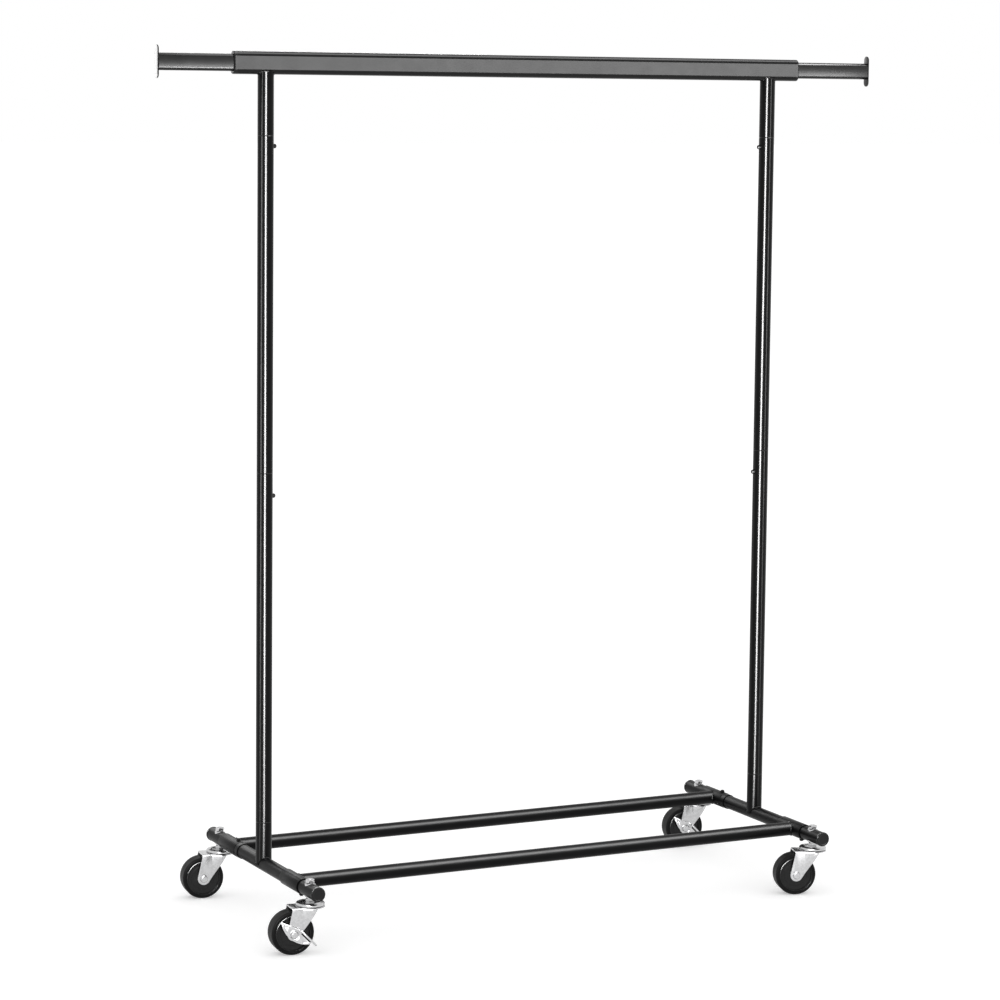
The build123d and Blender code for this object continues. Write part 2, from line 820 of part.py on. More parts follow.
with BuildPart() as snap_springs:
    for button in buttons:
        front_leaf = button.back - weld_gap - spring_thickness / 2
        back_leaf = sqrt(button.bore**2 - (spring_width / 2) ** 2) - slide_clearance - spring_thickness / 2
        with BuildSketch(button.spring_section):
            with BuildLine():
                Polyline(
                    (-spring_pad, front_leaf),
                    (spring_pad, front_leaf),
                    (spring_length, 0),
                    (-spring_pad, -back_leaf),
                )
            trace(line_width=spring_thickness)
        extrude(amount=spring_width / 2, both=True)
snap_springs.part.label = "snap_springs"
export_step(snap_springs.part, "parts/snap_springs.step")
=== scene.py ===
"""Looks of a rolling clothes rack: studio, finishes and the pieces that the CAD leaves plain."""

import json
import logging
from dataclasses import dataclass
from enum import Enum
from math import acos, asin, copysign, cos, degrees, hypot, pi, radians, sin, sqrt
from typing import Callable, Optional, Sequence, Union

import bpy
from mathutils import Matrix, Vector


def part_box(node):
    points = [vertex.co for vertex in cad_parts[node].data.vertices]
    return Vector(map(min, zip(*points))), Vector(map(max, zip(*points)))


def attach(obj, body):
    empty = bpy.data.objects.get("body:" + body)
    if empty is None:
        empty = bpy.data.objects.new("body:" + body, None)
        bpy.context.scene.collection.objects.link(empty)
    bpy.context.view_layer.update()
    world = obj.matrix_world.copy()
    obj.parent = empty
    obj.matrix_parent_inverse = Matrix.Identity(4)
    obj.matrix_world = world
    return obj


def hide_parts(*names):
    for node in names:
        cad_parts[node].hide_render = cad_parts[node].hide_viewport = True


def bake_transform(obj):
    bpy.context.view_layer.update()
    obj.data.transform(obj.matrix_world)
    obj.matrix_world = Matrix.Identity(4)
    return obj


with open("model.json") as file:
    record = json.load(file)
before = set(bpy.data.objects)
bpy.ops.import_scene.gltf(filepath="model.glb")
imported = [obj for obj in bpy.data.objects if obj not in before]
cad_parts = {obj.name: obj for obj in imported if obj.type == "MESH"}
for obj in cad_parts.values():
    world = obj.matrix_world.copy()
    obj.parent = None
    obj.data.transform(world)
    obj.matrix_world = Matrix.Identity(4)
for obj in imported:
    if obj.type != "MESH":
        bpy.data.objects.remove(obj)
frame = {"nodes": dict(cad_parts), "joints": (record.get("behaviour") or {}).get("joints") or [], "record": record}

logging.basicConfig(level=logging.INFO, format="%(message)s")
log = logging.getLogger("rack")

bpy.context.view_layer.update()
MM = 0.001
MERGE = 1e-6
SLIVER = 2e-6
SORT_POINT = (0.137, 0.291, 0.053)
ALONG = Vector((1.0, 0.0, 0.0))
BACK = Vector((0.0, 1.0, 0.0))
UP = Vector((0.0, 0.0, 1.0))
SIDES = {"left": -1, "right": 1}

Place = tuple[float, float, float]
Colour = tuple[float, float, float]
Point = tuple[float, float]
Object = bpy.types.Object
Socket = bpy.types.NodeSocket
Value = Union[Socket, float, tuple[float, ...]]


class Slot(str, Enum):
    """Material slots of the record."""

    RAIL = "rail_paint"
    BAR = "bar_finish"
    UPRIGHT = "upright_paint"
    BASE = "base_paint"
    PLASTIC = "black_plastic"
    BUTTON = "button_black"
    ZINC = "zinc"
    BALL = "ball_steel"
    SPRING = "spring_steel"
    RUBBER = "wheel_rubber"


class Corner(str, Enum):
    """Corners of the base that carry a caster."""

    FRONT_LEFT = "front_left"
    BACK_LEFT = "back_left"
    FRONT_RIGHT = "front_right"
    BACK_RIGHT = "back_right"


BRAKED = (Corner.FRONT_LEFT, Corner.BACK_RIGHT)


# Finishes

RAMP_ENDS = (0.3, 0.7)
NOISE_ENDS = (0.25, 0.75)
QUARTER_TURN = 0.25
ROLLED = (1.0, 1.0, 0.08)


class Graph:
    """Node tree, with short ways to add and join nodes."""

    def __init__(self, tree: bpy.types.NodeTree) -> None:
        """Hold the node tree."""
        self.tree = tree

    def put(self, socket: Socket, value: Value) -> None:
        """Set an input to a value or join it to an output.

        Args:
            socket: the input.
            value: a fixed value or the output of another node.
        """
        if isinstance(value, Socket):
            self.tree.links.new(value, socket)
        else:
            socket.default_value = value

    def add(self, kind: str, inputs: dict[Union[str, int], Value]) -> bpy.types.Node:
        """Add a node and put its inputs.

        Args:
            kind: type of the node.
            inputs: values or outputs by the name or number of the input.

        Returns:
            The new node.
        """
        node = self.tree.nodes.new(kind)
        for name, value in inputs.items():
            self.put(node.inputs[name], value)
        return node

    def reckon(self, operation: str, first: Value, second: Value) -> Socket:
        """Work out a value from two others.

        Args:
            operation: what is done with them.
            first: the first value.
            second: the second value.

        Returns:
            The result.
        """
        node = self.add("ShaderNodeMath", {0: first, 1: second})
        node.operation = operation
        return node.outputs["Value"]

    def seen(self) -> Socket:
        """Value of one for rays of the camera, of gloss and of glass.

        Returns:
            The value, which is zero for all other rays.
        """
        rays = self.add("ShaderNodeLightPath", {}).outputs
        total = rays["Is Camera Ray"]
        for ray in ("Is Glossy Ray", "Is Transmission Ray"):
            total = self.reckon("MAXIMUM", total, rays[ray])
        return total


class Coat(Graph):
    """Node tree of one material, with textures that stay with the piece."""

    def __init__(self, name: str) -> None:
        """Make the material.

        Args:
            name: name of the material.
        """
        self.material = bpy.data.materials.new(name)
        self.material.use_nodes = True
        super().__init__(self.material.node_tree)
        self.shader = self.tree.nodes["Principled BSDF"]
        self.place = self.add("ShaderNodeTexCoord", {}).outputs["Object"]

    def give(self, socket: str, value: Value) -> None:
        """Put an input of the shader."""
        self.put(self.shader.inputs[socket], value)

    def noise(self, size: float, detail: float = 4.0, stretch: Optional[Place] = None) -> Socket:
        """Add cloudy noise.

        Args:
            size: size of one cloud in millimetres.
            detail: number of finer octaves.
            stretch: how much finer the clouds are along each axis.

        Returns:
            The noise value.
        """
        place = self.place
        if stretch:
            mapping = self.add("ShaderNodeMapping", {"Scale": stretch, "Vector": place})
            place = mapping.outputs["Vector"]
        inputs = {"Scale": 1 / (size * MM), "Detail": detail, "Vector": place}
        return self.add("ShaderNodeTexNoise", inputs).outputs["Fac"]

    def cells(self, size: float) -> Socket:
        """Add crystal cells of a size in millimetres and return their grey values."""
        inputs = {"Scale": 1 / (size * MM), "Vector": self.place}
        return self.add("ShaderNodeTexVoronoi", inputs).outputs["Color"]

    def ramp(self, value: Socket, low: Colour, high: Colour) -> Socket:
        """Turn a value into a colour between two colours.

        Args:
            value: the value.
            low: colour at low values.
            high: colour at high values.

        Returns:
            The colour.
        """
        node = self.add("ShaderNodeValToRGB", {"Fac": value})
        for element, end, colour in zip(node.color_ramp.elements, RAMP_ENDS, (low, high)):
            element.position = end
            element.color = (*colour, 1.0)
        return node.outputs["Color"]

    def span(self, value: Socket, low: float, high: float) -> Socket:
        """Spread a value over a range."""
        ends = zip(("From Min", "From Max", "To Min", "To Max"), (*NOISE_ENDS, low, high))
        return self.add("ShaderNodeMapRange", {"Value": value, **dict(ends)}).outputs["Result"]

    def bump(self, value: Socket, height: float, below: Optional[Socket] = None) -> Socket:
        """Raise the surface by a value.

        Args:
            value: the height field.
            height: full height in millimetres.
            below: a normal that this one is laid over.

        Returns:
            The raised normal.
        """
        inputs = {"Strength": 1.0, "Distance": height * MM, "Height": value}
        if below:
            inputs["Normal"] = below
        return self.add("ShaderNodeBump", inputs).outputs["Normal"]


@dataclass(frozen=True)
class Finish:
    """Finish with clouded colour, uneven gloss and a fine grain, its sizes in millimetres."""

    slot: Slot
    colour: Colour
    shade: Colour
    metallic: float
    roughness: float
    swing: float
    specular: float
    grain: float
    grain_height: float
    cloud: float = 60.0
    anisotropy: float = 0.0

    def build(self) -> bpy.types.Material:
        """Make the material of this finish.

        Returns:
            The material.
        """
        coat = Coat(f"{self.slot.value}_finish")
        coat.give("Metallic", self.metallic)
        coat.give("Specular IOR Level", self.specular)
        coat.give("Anisotropic", self.anisotropy)
        coat.give("Anisotropic Rotation", QUARTER_TURN)
        self.dress(coat)
        return coat.material

    def paint(self, coat: Coat, colour: Socket, gloss: Socket) -> None:
        """Let the colour and the gloss follow two values.

        Args:
            coat: node tree of the material.
            colour: value that mixes the colour and the shade.
            gloss: value that swings the roughness.
        """
        low, high = self.roughness - self.swing, self.roughness + self.swing
        coat.give("Base Color", coat.ramp(colour, self.colour, self.shade))
        coat.give("Roughness", coat.span(gloss, low, high))

    def dress(self, coat: Coat) -> None:
        """Add colour, gloss and grain to the material."""
        self.paint(coat, coat.noise(self.cloud), coat.noise(self.cloud / 3, 6.0))
        coat.give("Normal", coat.bump(coat.noise(self.grain, 2.0), self.grain_height))


@dataclass(frozen=True)
class PlatedFinish(Finish):
    """Finish of plated sheet metal, with crystal cells and rolling marks."""

    cell: float = 3.0

    def dress(self, coat: Coat) -> None:
        """Add crystal cells, rolling marks and gloss to the material.

        Args:
            coat: node tree of the material.
        """
        marks = coat.noise(self.grain, 3.0, ROLLED)
        self.paint(coat, coat.cells(self.cell), marks)
        clouded = coat.bump(coat.noise(self.cell * 2, 2.0), self.grain_height * 2)
        coat.give("Normal", coat.bump(marks, self.grain_height, clouded))


@dataclass(frozen=True)
class MouldedFinish(Finish):
    """Finish of moulded plastic or rubber, with a spark-eroded skin."""

    pit: float = 0.25

    def dress(self, coat: Coat) -> None:
        """Add colour, gloss and a pitted skin to the material.

        Args:
            coat: node tree of the material.
        """
        self.paint(coat, coat.noise(self.cloud), coat.noise(self.cloud / 4, 6.0))
        flow = coat.bump(coat.noise(self.grain, 2.0), self.grain_height)
        coat.give("Normal", coat.bump(coat.cells(self.pit), self.grain_height / 3, flow))


def grey(level: float, blue: float = 0.0002) -> Colour:
    """Grey with a little more blue."""
    return (level, level, level + blue)


# Colour and shade, then metallic, roughness, swing, specular, grain and height of the grain
FINISHES = (
    Finish(Slot.RAIL, grey(0.003), grey(0.005), 0.0, 0.2, 0.02, 0.2, 3.0, 0.0015),
    Finish(Slot.BAR, grey(0.004), grey(0.006), 0.0, 0.28, 0.02, 0.22, 2.5, 0.0015),
    Finish(Slot.UPRIGHT, grey(0.002), grey(0.004), 0.0, 0.3, 0.02, 0.1, 4.0, 0.0005, anisotropy=0.9),
    Finish(Slot.BASE, grey(0.003), grey(0.005), 0.0, 0.36, 0.03, 0.07, 1.2, 0.004),
    MouldedFinish(Slot.PLASTIC, grey(0.004), grey(0.007), 0.0, 0.25, 0.04, 0.25, 3.0, 0.006),
    Finish(Slot.BUTTON, grey(0.003), grey(0.006), 0.0, 0.3, 0.05, 0.2, 0.8, 0.003),
    PlatedFinish(Slot.ZINC, grey(0.52, 0.005), grey(0.58, 0.005), 1.0, 0.22, 0.04, 0.5, 0.5, 0.0002),
    PlatedFinish(Slot.BALL, grey(0.6, 0.0), grey(0.66, 0.0), 1.0, 0.15, 0.03, 0.5, 0.5, 0.001, cell=2.0),
    PlatedFinish(Slot.SPRING, grey(0.26, 0.02), grey(0.34, 0.02), 1.0, 0.32, 0.05, 0.5, 0.5, 0.003, cell=2.0),
    MouldedFinish(Slot.RUBBER, grey(0.004, 0.0001), grey(0.008, 0.0001), 0.0, 0.5, 0.06, 0.12, 4.0, 0.02),
)


# Ways of modelling

def clear_selection() -> None:
    """Deselect every object."""
    bpy.ops.object.select_all(action="DESELECT")


def pick(*pieces: Object) -> None:
    """Select some objects only, the last one active.

    Args:
        pieces: the objects.
    """
    clear_selection()
    for piece in pieces:
        piece.select_set(True)
        bpy.context.view_layer.objects.active = piece


def discard(*pieces: Object) -> None:
    """Remove objects that are used up."""
    for piece in pieces:
        bpy.data.objects.remove(piece, do_unlink=True)


def enter_edit() -> None:
    """Edit the active object, with everything selected."""
    bpy.ops.object.mode_set(mode="EDIT")
    bpy.ops.mesh.select_all(action="SELECT")


def leave_edit() -> None:
    """Make the normals of the edited object point outward and leave edit mode."""
    bpy.ops.mesh.select_all(action="SELECT")
    bpy.ops.mesh.normals_make_consistent(inside=False)
    bpy.ops.object.mode_set(mode="OBJECT")


def trace(name: str, points: Sequence[Vector], closed: bool) -> Object:
    """Draw a line by extruding one vertex from point to point.

    Args:
        name: name of the new object.
        points: points of the line in millimetres.
        closed: whether the line is closed and filled.

    Returns:
        The object, in edit mode with everything selected.
    """
    clear_selection()
    bpy.ops.mesh.primitive_plane_add(size=MM)
    piece = bpy.context.object
    piece.name = name
    bpy.ops.object.mode_set(mode="EDIT")
    bpy.ops.mesh.select_mode(type="VERT")
    bpy.ops.mesh.select_all(action="SELECT")
    bpy.ops.mesh.merge(type="CENTER")
    bpy.ops.transform.translate(value=points[0] * MM)
    for start, end in zip(points, points[1:]):
        bpy.ops.mesh.extrude_vertices_move(TRANSFORM_OT_translate={"value": (end - start) * MM})
    bpy.ops.mesh.select_all(action="SELECT")
    if closed:
        bpy.ops.mesh.edge_face_add()
    return piece


def turned(name: str, outline: Sequence[Point], steps: int = 72) -> Object:
    """Turn an outline about the third axis.

    Args:
        name: name of the new object.
        outline: distances from the axis and heights, in millimetres.
        steps: number of steps of a full turn.

    Returns:
        The turned object, in object mode.
    """
    piece = trace(name, [Vector((radius, 0.0, height)) for radius, height in outline], False)
    bpy.ops.mesh.spin(steps=steps, angle=2 * pi, center=(0, 0, 0), axis=(0, 0, 1))
    bpy.ops.mesh.select_all(action="SELECT")
    bpy.ops.mesh.remove_doubles(threshold=MERGE)
    leave_edit()
    return piece


def sheet(name: str, outline: Sequence[Point], low: float, high: float, fold: float = 0.0) -> Object:
    """Cut an outline out of sheet.

    Args:
        name: name of the new object.
        outline: corners in millimetres.
        low: height of the lower face in millimetres.
        high: height of the upper face in millimetres.
        fold: width of the rounding of the upper edge in millimetres.

    Returns:
        The object, in object mode.
    """
    piece = trace(name, [Vector((x, y, low)) for x, y in outline], True)
    bpy.ops.mesh.extrude_region_move(TRANSFORM_OT_translate={"value": (0, 0, (high - low) * MM)})
    if fold:
        bpy.ops.mesh.bevel(offset=fold * MM, segments=6, affect="EDGES")
    leave_edit()
    return piece


def sort_mesh() -> None:
    """Put the mesh of the active object in a fixed order, which cutting doesn't keep."""
    bpy.context.scene.cursor.location = SORT_POINT
    enter_edit()
    bpy.ops.mesh.sort_elements(type="CURSOR_DISTANCE", elements={"VERT", "EDGE", "FACE"})
    bpy.ops.object.mode_set(mode="OBJECT")
    bpy.context.scene.cursor.location = (0.0, 0.0, 0.0)


def combine(piece: Object, tool: Object, operation: str) -> None:
    """Join, cut or overlap a piece with a tool, which is used up.

    Args:
        piece: the piece, in object mode.
        tool: the object that it is combined with.
        operation: union, difference or intersection in Blender's words.
    """
    pick(piece)
    modifier = piece.modifiers.new("combine", "BOOLEAN")
    modifier.operation = operation
    modifier.solver = "EXACT"
    modifier.object = tool
    bpy.ops.object.modifier_apply(modifier=modifier.name)
    discard(tool)
    sort_mesh()


def soften(piece: Object, width: float, segments: int = 2, angle: float = 30.0) -> None:
    """Round the sharp edges of a piece.

    Args:
        piece: the piece, in object mode.
        width: width of the rounding in millimetres.
        segments: number of its segments.
        angle: edges sharper than this many degrees are rounded.
    """
    pick(piece)
    modifier = piece.modifiers.new("soften", "BEVEL")
    modifier.width = width * MM
    modifier.segments = segments
    modifier.limit_method = "ANGLE"
    modifier.angle_limit = radians(angle)
    modifier.use_clamp_overlap = True
    bpy.ops.object.modifier_apply(modifier=modifier.name)
    enter_edit()
    bpy.ops.mesh.remove_doubles(threshold=SLIVER)
    bpy.ops.object.mode_set(mode="OBJECT")


def placed(first: Vector, second: Vector, third: Vector, origin: Sequence[float]) -> Matrix:
    """Frame with these axes and this origin.

    Args:
        first: first axis.
        second: second axis.
        third: third axis.
        origin: place of the origin in metres.

    Returns:
        The frame as a matrix.
    """
    place = Matrix((first, second, third)).transposed().to_4x4()
    place.translation = origin
    return place


def settle(piece: Object, place: Matrix) -> None:
    """Put a piece in place and keep the place in its mesh.

    Args:
        piece: the piece.
        place: where its own frame goes.
    """
    pick(piece)
    piece.matrix_world = place
    bpy.ops.object.transform_apply(location=True, rotation=True, scale=True)


def copy_to(piece: Object, name: str, place: Matrix) -> Object:
    """Copy a piece with its own mesh and put the copy in place.

    Args:
        piece: the piece that is copied.
        name: name of the copy.
        place: where the copy's own frame goes.

    Returns:
        The copy, with its place in its mesh.
    """
    pick(piece)
    bpy.ops.object.duplicate(linked=False)
    copy = bpy.context.object
    copy.name = name
    settle(copy, place)
    return copy


def join(name: str, pieces: Sequence[Object]) -> Object:
    """Join pieces into one object.

    Args:
        name: name of the joined object.
        pieces: the pieces, which are used up.

    Returns:
        The joined object.
    """
    pick(*pieces)
    bpy.ops.object.join()
    piece = bpy.context.object
    piece.name = name
    return piece


def arc(centre: Point, radius: float, start: float, end: float, steps: int) -> list[Point]:
    """Points of an arc between two angles in degrees, both ends included."""
    angles = (radians(start + (end - start) * step / steps) for step in range(steps + 1))
    return [(centre[0] + radius * cos(angle), centre[1] + radius * sin(angle)) for angle in angles]


def mirrored(points: Sequence[Point]) -> list[Point]:
    """Points on the other side of the first axis, in reverse order."""
    return [(x, -y) for x, y in reversed(points)]


def eased(before: Vector, knee: Vector, after: Vector, reach: float, steps: int = 6) -> list[Vector]:
    """Round a knee between two straight lines.

    Args:
        before: a point on the first line.
        knee: the point where the lines meet.
        after: a point on the second line.
        reach: distance from the knee at which the rounding starts and ends.
        steps: number of steps of the rounding.

    Returns:
        Points of the rounding, both ends included.
    """
    start = knee + (before - knee).normalized() * reach
    end = knee + (after - knee).normalized() * reach
    shares = [step / steps for step in range(steps + 1)]
    return [start.lerp(knee, share).lerp(knee.lerp(end, share), share) for share in shares]


class Workshop:
    """Holds the finishes and puts finished pieces on their bodies."""

    def __init__(self) -> None:
        """Make the finishes."""
        self.materials = {finish.slot: finish.build() for finish in FINISHES}
        self.members: dict[Slot, list[Object]] = {slot: [] for slot in Slot}

    def dress_cad(self) -> None:
        """Give every node of the CAD the finish of its slot."""
        for subpart in frame["record"]["subparts"]:
            node = frame["nodes"][subpart["node"]]
            slot = Slot(subpart["material_slot"])
            self.members[slot].append(node)
            for place in node.material_slots:
                place.material = self.materials[slot]

    def dress(self, piece: Object, slot: Slot, angle: float = 30.0) -> None:
        """Smooth a piece and give it a finish.

        Args:
            piece: the modelled piece, in place.
            slot: slot that its finish comes from.
            angle: edges sharper than this many degrees stay sharp.
        """
        pick(piece)
        bpy.ops.object.shade_smooth_by_angle(angle=radians(angle))
        piece.data.materials.clear()
        piece.data.materials.append(self.materials[slot])
        self.members[slot].append(piece)

    def hand_over(self, piece: Object, slot: Slot, body: str, *nodes: str, angle: float = 30.0) -> None:
        """Finish a piece.

        Args:
            piece: the modelled piece, in place.
            slot: slot that its finish comes from.
            body: body that it rides on.
            nodes: nodes of the CAD that it stands for.
            angle: edges sharper than this many degrees stay sharp.
        """
        self.dress(piece, slot, angle)
        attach(piece, body)
        if nodes:
            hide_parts(*nodes)
        log.info("%s: %d faces on %s", piece.name, len(piece.data.polygons), body)


# Pieces, with their measures in millimetres

def joint_vector(name: str, key: str) -> Vector:
    """Place or axis of a joint of the record."""
    return next(Vector(joint[key]) for joint in frame["joints"] if joint["name"] == name)


def axle_frame(corner: Corner) -> Matrix:
    """Frame at the axle of a caster: along the fork, up and out to its front side.

    Args:
        corner: corner of the caster.

    Returns:
        The frame as a matrix.
    """
    name = f"{corner.value}_roll"
    front = joint_vector(name, "axis")
    return placed(Vector((-front.y, front.x, 0.0)), UP, front, joint_vector(name, "pos_m"))


def stem_frame(corner: Corner) -> Matrix:
    """Upright frame on the floor under the stem of a caster, its first axis along the fork.

    Args:
        corner: corner of the caster.

    Returns:
        The frame as a matrix.
    """
    stem = joint_vector(f"{corner.value}_swivel", "pos_m")
    front = joint_vector(f"{corner.value}_roll", "axis")
    return placed(Vector((-front.y, front.x, 0.0)), -front, UP, (stem.x, stem.y, 0.0))


@dataclass(frozen=True)
class CasterWheel:
    """Wheel with a dished plastic core, a rim bead and a rubber tread with a parting line."""

    radius: float = 38.0
    half_width: float = 16.0
    hub_half: float = 17.0
    hub_radius: float = 10.2
    bore: float = 5.56
    web_half: float = 13.0
    ring: Point = (20.9, 22.1)
    bead: float = 29.8
    seat: float = 31.6
    shoulder: float = 4.5
    smooth: float = 24.0

    def core(self) -> Object:
        """Model the core about the third axis.

        Returns:
            The core, in object mode.
        """
        web, (inner, outer) = self.web_half, self.ring
        side = [(self.bore, self.hub_half - 0.4), (self.bore + 0.4, self.hub_half)]
        side += arc((self.hub_radius - 1.7, self.hub_half - 1.0), 1.0, 90, 20, 4)
        side += [(self.hub_radius - 0.3, web + 0.9)]
        side += arc((self.hub_radius + 0.9, web + 0.9), 0.9, 200, 270, 3)
        side += [(inner - 0.15, web - 0.2), (inner, web + 0.25)]
        side += [(outer, web + 0.25), (outer + 0.15, web - 0.25)]
        side += [(self.bead - 0.5, web - 0.2), (self.bead - 0.4, self.half_width + 0.15)]
        side += arc((self.bead, self.half_width - 1.4), 1.6, 100, 25, 8)
        side += [(self.seat - 0.05, self.half_width - 0.45)]
        return self.whole("wheel_core", side, [])

    def tread(self) -> Object:
        """Model the tread about the third axis.

        Returns:
            The tread, in object mode.
        """
        seat, half, shoulder = self.seat, self.half_width, self.shoulder
        side = [(seat, half - 0.45), (seat + 0.4, half - 0.3), (seat + 1.6, half - 0.2)]
        side += arc((self.radius - shoulder, half - shoulder), shoulder, 80, 0, 10)
        side += [(self.radius, 3.0), (self.radius, 0.35)]
        return self.whole("wheel_tread", side, [(self.radius - 0.25, 0.0)])

    @staticmethod
    def whole(name: str, side: list[Point], middle: list[Point]) -> Object:
        """Turn an outline and its mirror image.

        Args:
            name: name of the new object.
            side: distances from the axis and heights of one side.
            middle: points between both sides.

        Returns:
            The turned object.
        """
        outline = side + middle + mirrored(side)
        return turned(name, outline + outline[:1], 96)


@dataclass(frozen=True)
class Fork:
    """Fork bent from sheet, with rounded folds, flared legs and a round head."""

    trail: float = 34.5
    axle: float = 38.0
    outer: float = 19.5
    sheet: float = 2.0
    head: float = 26.0
    crease: float = 19.0
    slant: float = 0.33
    blend: float = 3.0
    front: float = 6.0
    rear: float = 37.0
    foot: float = 20.0
    top: float = 82.7
    plate: float = 2.5
    fold: float = 3.6
    boss: float = 11.5
    stem: float = 5.0
    bore: float = 4.06
    track: float = 16.0

    def half_plan(self) -> list[Point]:
        """Outer edge of one half seen from above, from the rear to the head.

        Returns:
            Points of the edge.
        """
        rear, knee = Vector((-60.0, self.outer)), Vector((-self.crease, self.outer))
        crease = eased(rear, knee, Vector((0.0, self.head)), self.blend)
        return [tuple(point) for point in (rear, *crease)] + arc((0, 0), self.head, 96, 0, 20)

    def shell(self) -> Object:
        """Model the outside with its rounded upper edge, then take out the space for the wheel.

        Returns:
            The shell, in object mode.
        """
        plan = self.half_plan()
        shell = sheet("fork", plan + mirrored(plan[:-1]), self.foot, self.top, self.fold)
        inner, wide = self.outer - self.sheet, self.head - self.sheet
        inside = [(-80.0, inner), (self.slant - self.crease, inner), (self.slant, wide)]
        inside += [(self.front, wide - 0.7), (self.front, 40.0), (40.0, 40.0)]
        space = sheet("space", inside + mirrored(inside), 0.0, self.top - self.plate)
        combine(shell, space, "DIFFERENCE")
        return shell

    def side(self) -> Object:
        """Model the tool that gives the legs their outline seen from the side.

        Returns:
            The tool, turned upright.
        """
        low = self.top - self.plate - 1.25
        rear = self.tangent((-self.rear, low), 1)
        front = self.tangent((self.front, low), -1)
        outline = arc((-self.trail, self.axle), self.boss, rear, front + 360, 24)
        outline += [(self.front, low), (50.0, low), (50.0, 100.0), (-self.rear, 100.0), (-self.rear, low)]
        side = sheet("side", outline, -50.0, 50.0)
        side.rotation_euler.x = pi / 2
        return side

    def tangent(self, corner: Point, turn: int) -> float:
        """Angle at which a line from a corner touches the boss.

        Args:
            corner: the point that the line starts from.
            turn: 1 or -1 for the side of the boss.

        Returns:
            The angle in degrees.
        """
        away = Vector((corner[0] + self.trail, corner[1] - self.axle))
        bearing = degrees(away.angle_signed(Vector((1.0, 0.0)), 0.0))
        return bearing + turn * degrees(acos(self.boss / away.length))

    def build(self) -> Object:
        """Model the fork on the floor, its stem on the third axis and its head along the first.

        Returns:
            The fork, in object mode.
        """
        fork = self.shell()
        combine(fork, self.side(), "INTERSECT")
        hole = [(0, 70), (self.stem, 70), (self.stem, 90), (0, 90)]
        combine(fork, turned("hole", hole), "DIFFERENCE")
        race = arc((self.track, self.top + 1.6), 2.3, 0, 360, 24)
        combine(fork, turned("race", race), "DIFFERENCE")
        bore = turned("bore", [(0, -40), (self.bore, -40), (self.bore, 40), (0, 40)])
        bore.rotation_euler.x = pi / 2
        bore.location = (-self.trail * MM, 0.0, self.axle * MM)
        combine(fork, bore, "DIFFERENCE")
        soften(fork, 0.35, 2, 35.0)
        return fork


@dataclass(frozen=True)
class StemNut:
    """Hexagon nut with chamfered corners and a countersunk bore."""

    across: float = 14.3
    low: float = 122.05
    high: float = 127.55
    bore: float = 4.8
    turn: float = 1.3

    def build(self) -> Object:
        """Model the nut about the third axis, its barrel turned a little so that no edges coincide.

        Returns:
            The nut, in object mode.
        """
        corner, flat = self.across / sqrt(3), self.across / 2
        low, high = self.low, self.high
        nut = sheet("nut", arc((0, 0), corner, 0, 300, 5), low - 0.4, high + 0.4)
        outline = [(0, low), (flat - 0.1, low), (corner + 0.1, low + 0.7), (corner + 0.1, high - 1.1)]
        outline += [(corner - 0.45, high - 0.55), (flat - 0.6, high), (0, high)]
        barrel = turned("barrel", outline)
        barrel.rotation_euler.z = radians(self.turn)
        combine(nut, barrel, "INTERSECT")
        bore = [(0, low - 1), (self.bore, low - 1), (self.bore, high - 0.6)]
        bore += [(self.bore + 0.8, high + 0.2), (0, high + 0.2)]
        combine(nut, turned("bore", bore), "DIFFERENCE")
        soften(nut, 0.22, 2, 25.0)
        return nut


@dataclass(frozen=True)
class RacewayCap:
    """Pressed cap over the balls, with a rolled rim and a raised track."""

    top: float = 88.15
    sheet: float = 1.8
    rim: float = 83.5
    radius: float = 25.5
    bore: float = 4.8
    track: float = 16.0

    def build(self) -> Object:
        """Model the cap about the third axis.

        Returns:
            The cap, in object mode.
        """
        top, track, rim = self.top, self.track, self.rim
        under, inner = top - self.sheet, self.radius - self.sheet
        outline = [(self.bore, top), (track - 3.6, top), (track - 2.6, top + 0.15)]
        outline += [(track - 1.4, top + 0.5), (track, top + 0.6), (track + 1.4, top + 0.5)]
        outline += [(track + 2.6, top + 0.1), (track + 3.4, top - 0.1)]
        outline += arc((self.radius - 3.0, top - 3.1), 3.0, 80, 0, 8)
        outline += [(self.radius, rim + 0.6)]
        outline += arc((self.radius - 0.6, rim + 0.6), 0.6, -30, -150, 4)
        outline += [(inner, rim + 0.9), (inner, under - 1.8), (inner - 1.0, under - 0.5)]
        outline += [(inner - 2.0, under), (self.bore, under), (self.bore, top)]
        return turned("raceway", outline, 96)


@dataclass(frozen=True)
class EndCap:
    """Plastic tube cap with a rounded lip and a dished face."""

    radius: float = 13.3
    lip: float = 4.0
    plug: float = 11.1
    depth: float = 15.0

    def build(self) -> Object:
        """Model the cap about the third axis, with its lip above the tube end at zero.

        Returns:
            The cap, in object mode.
        """
        lip, plug, depth = self.lip, self.plug, self.depth
        outline = [(0, lip - 0.75), (7.5, lip - 0.75), (9.2, lip - 0.6), (10.1, lip - 0.15), (10.5, lip)]
        outline += arc((self.radius - 1.9, lip - 1.9), 1.9, 80, 0, 8)
        outline += [(self.radius, 0.35), (self.radius - 0.35, 0.0), (plug, 0.0)]
        outline += [(plug, 1.5 - depth), (plug - 0.8, -depth), (0, -depth)]
        return turned("cap", outline)


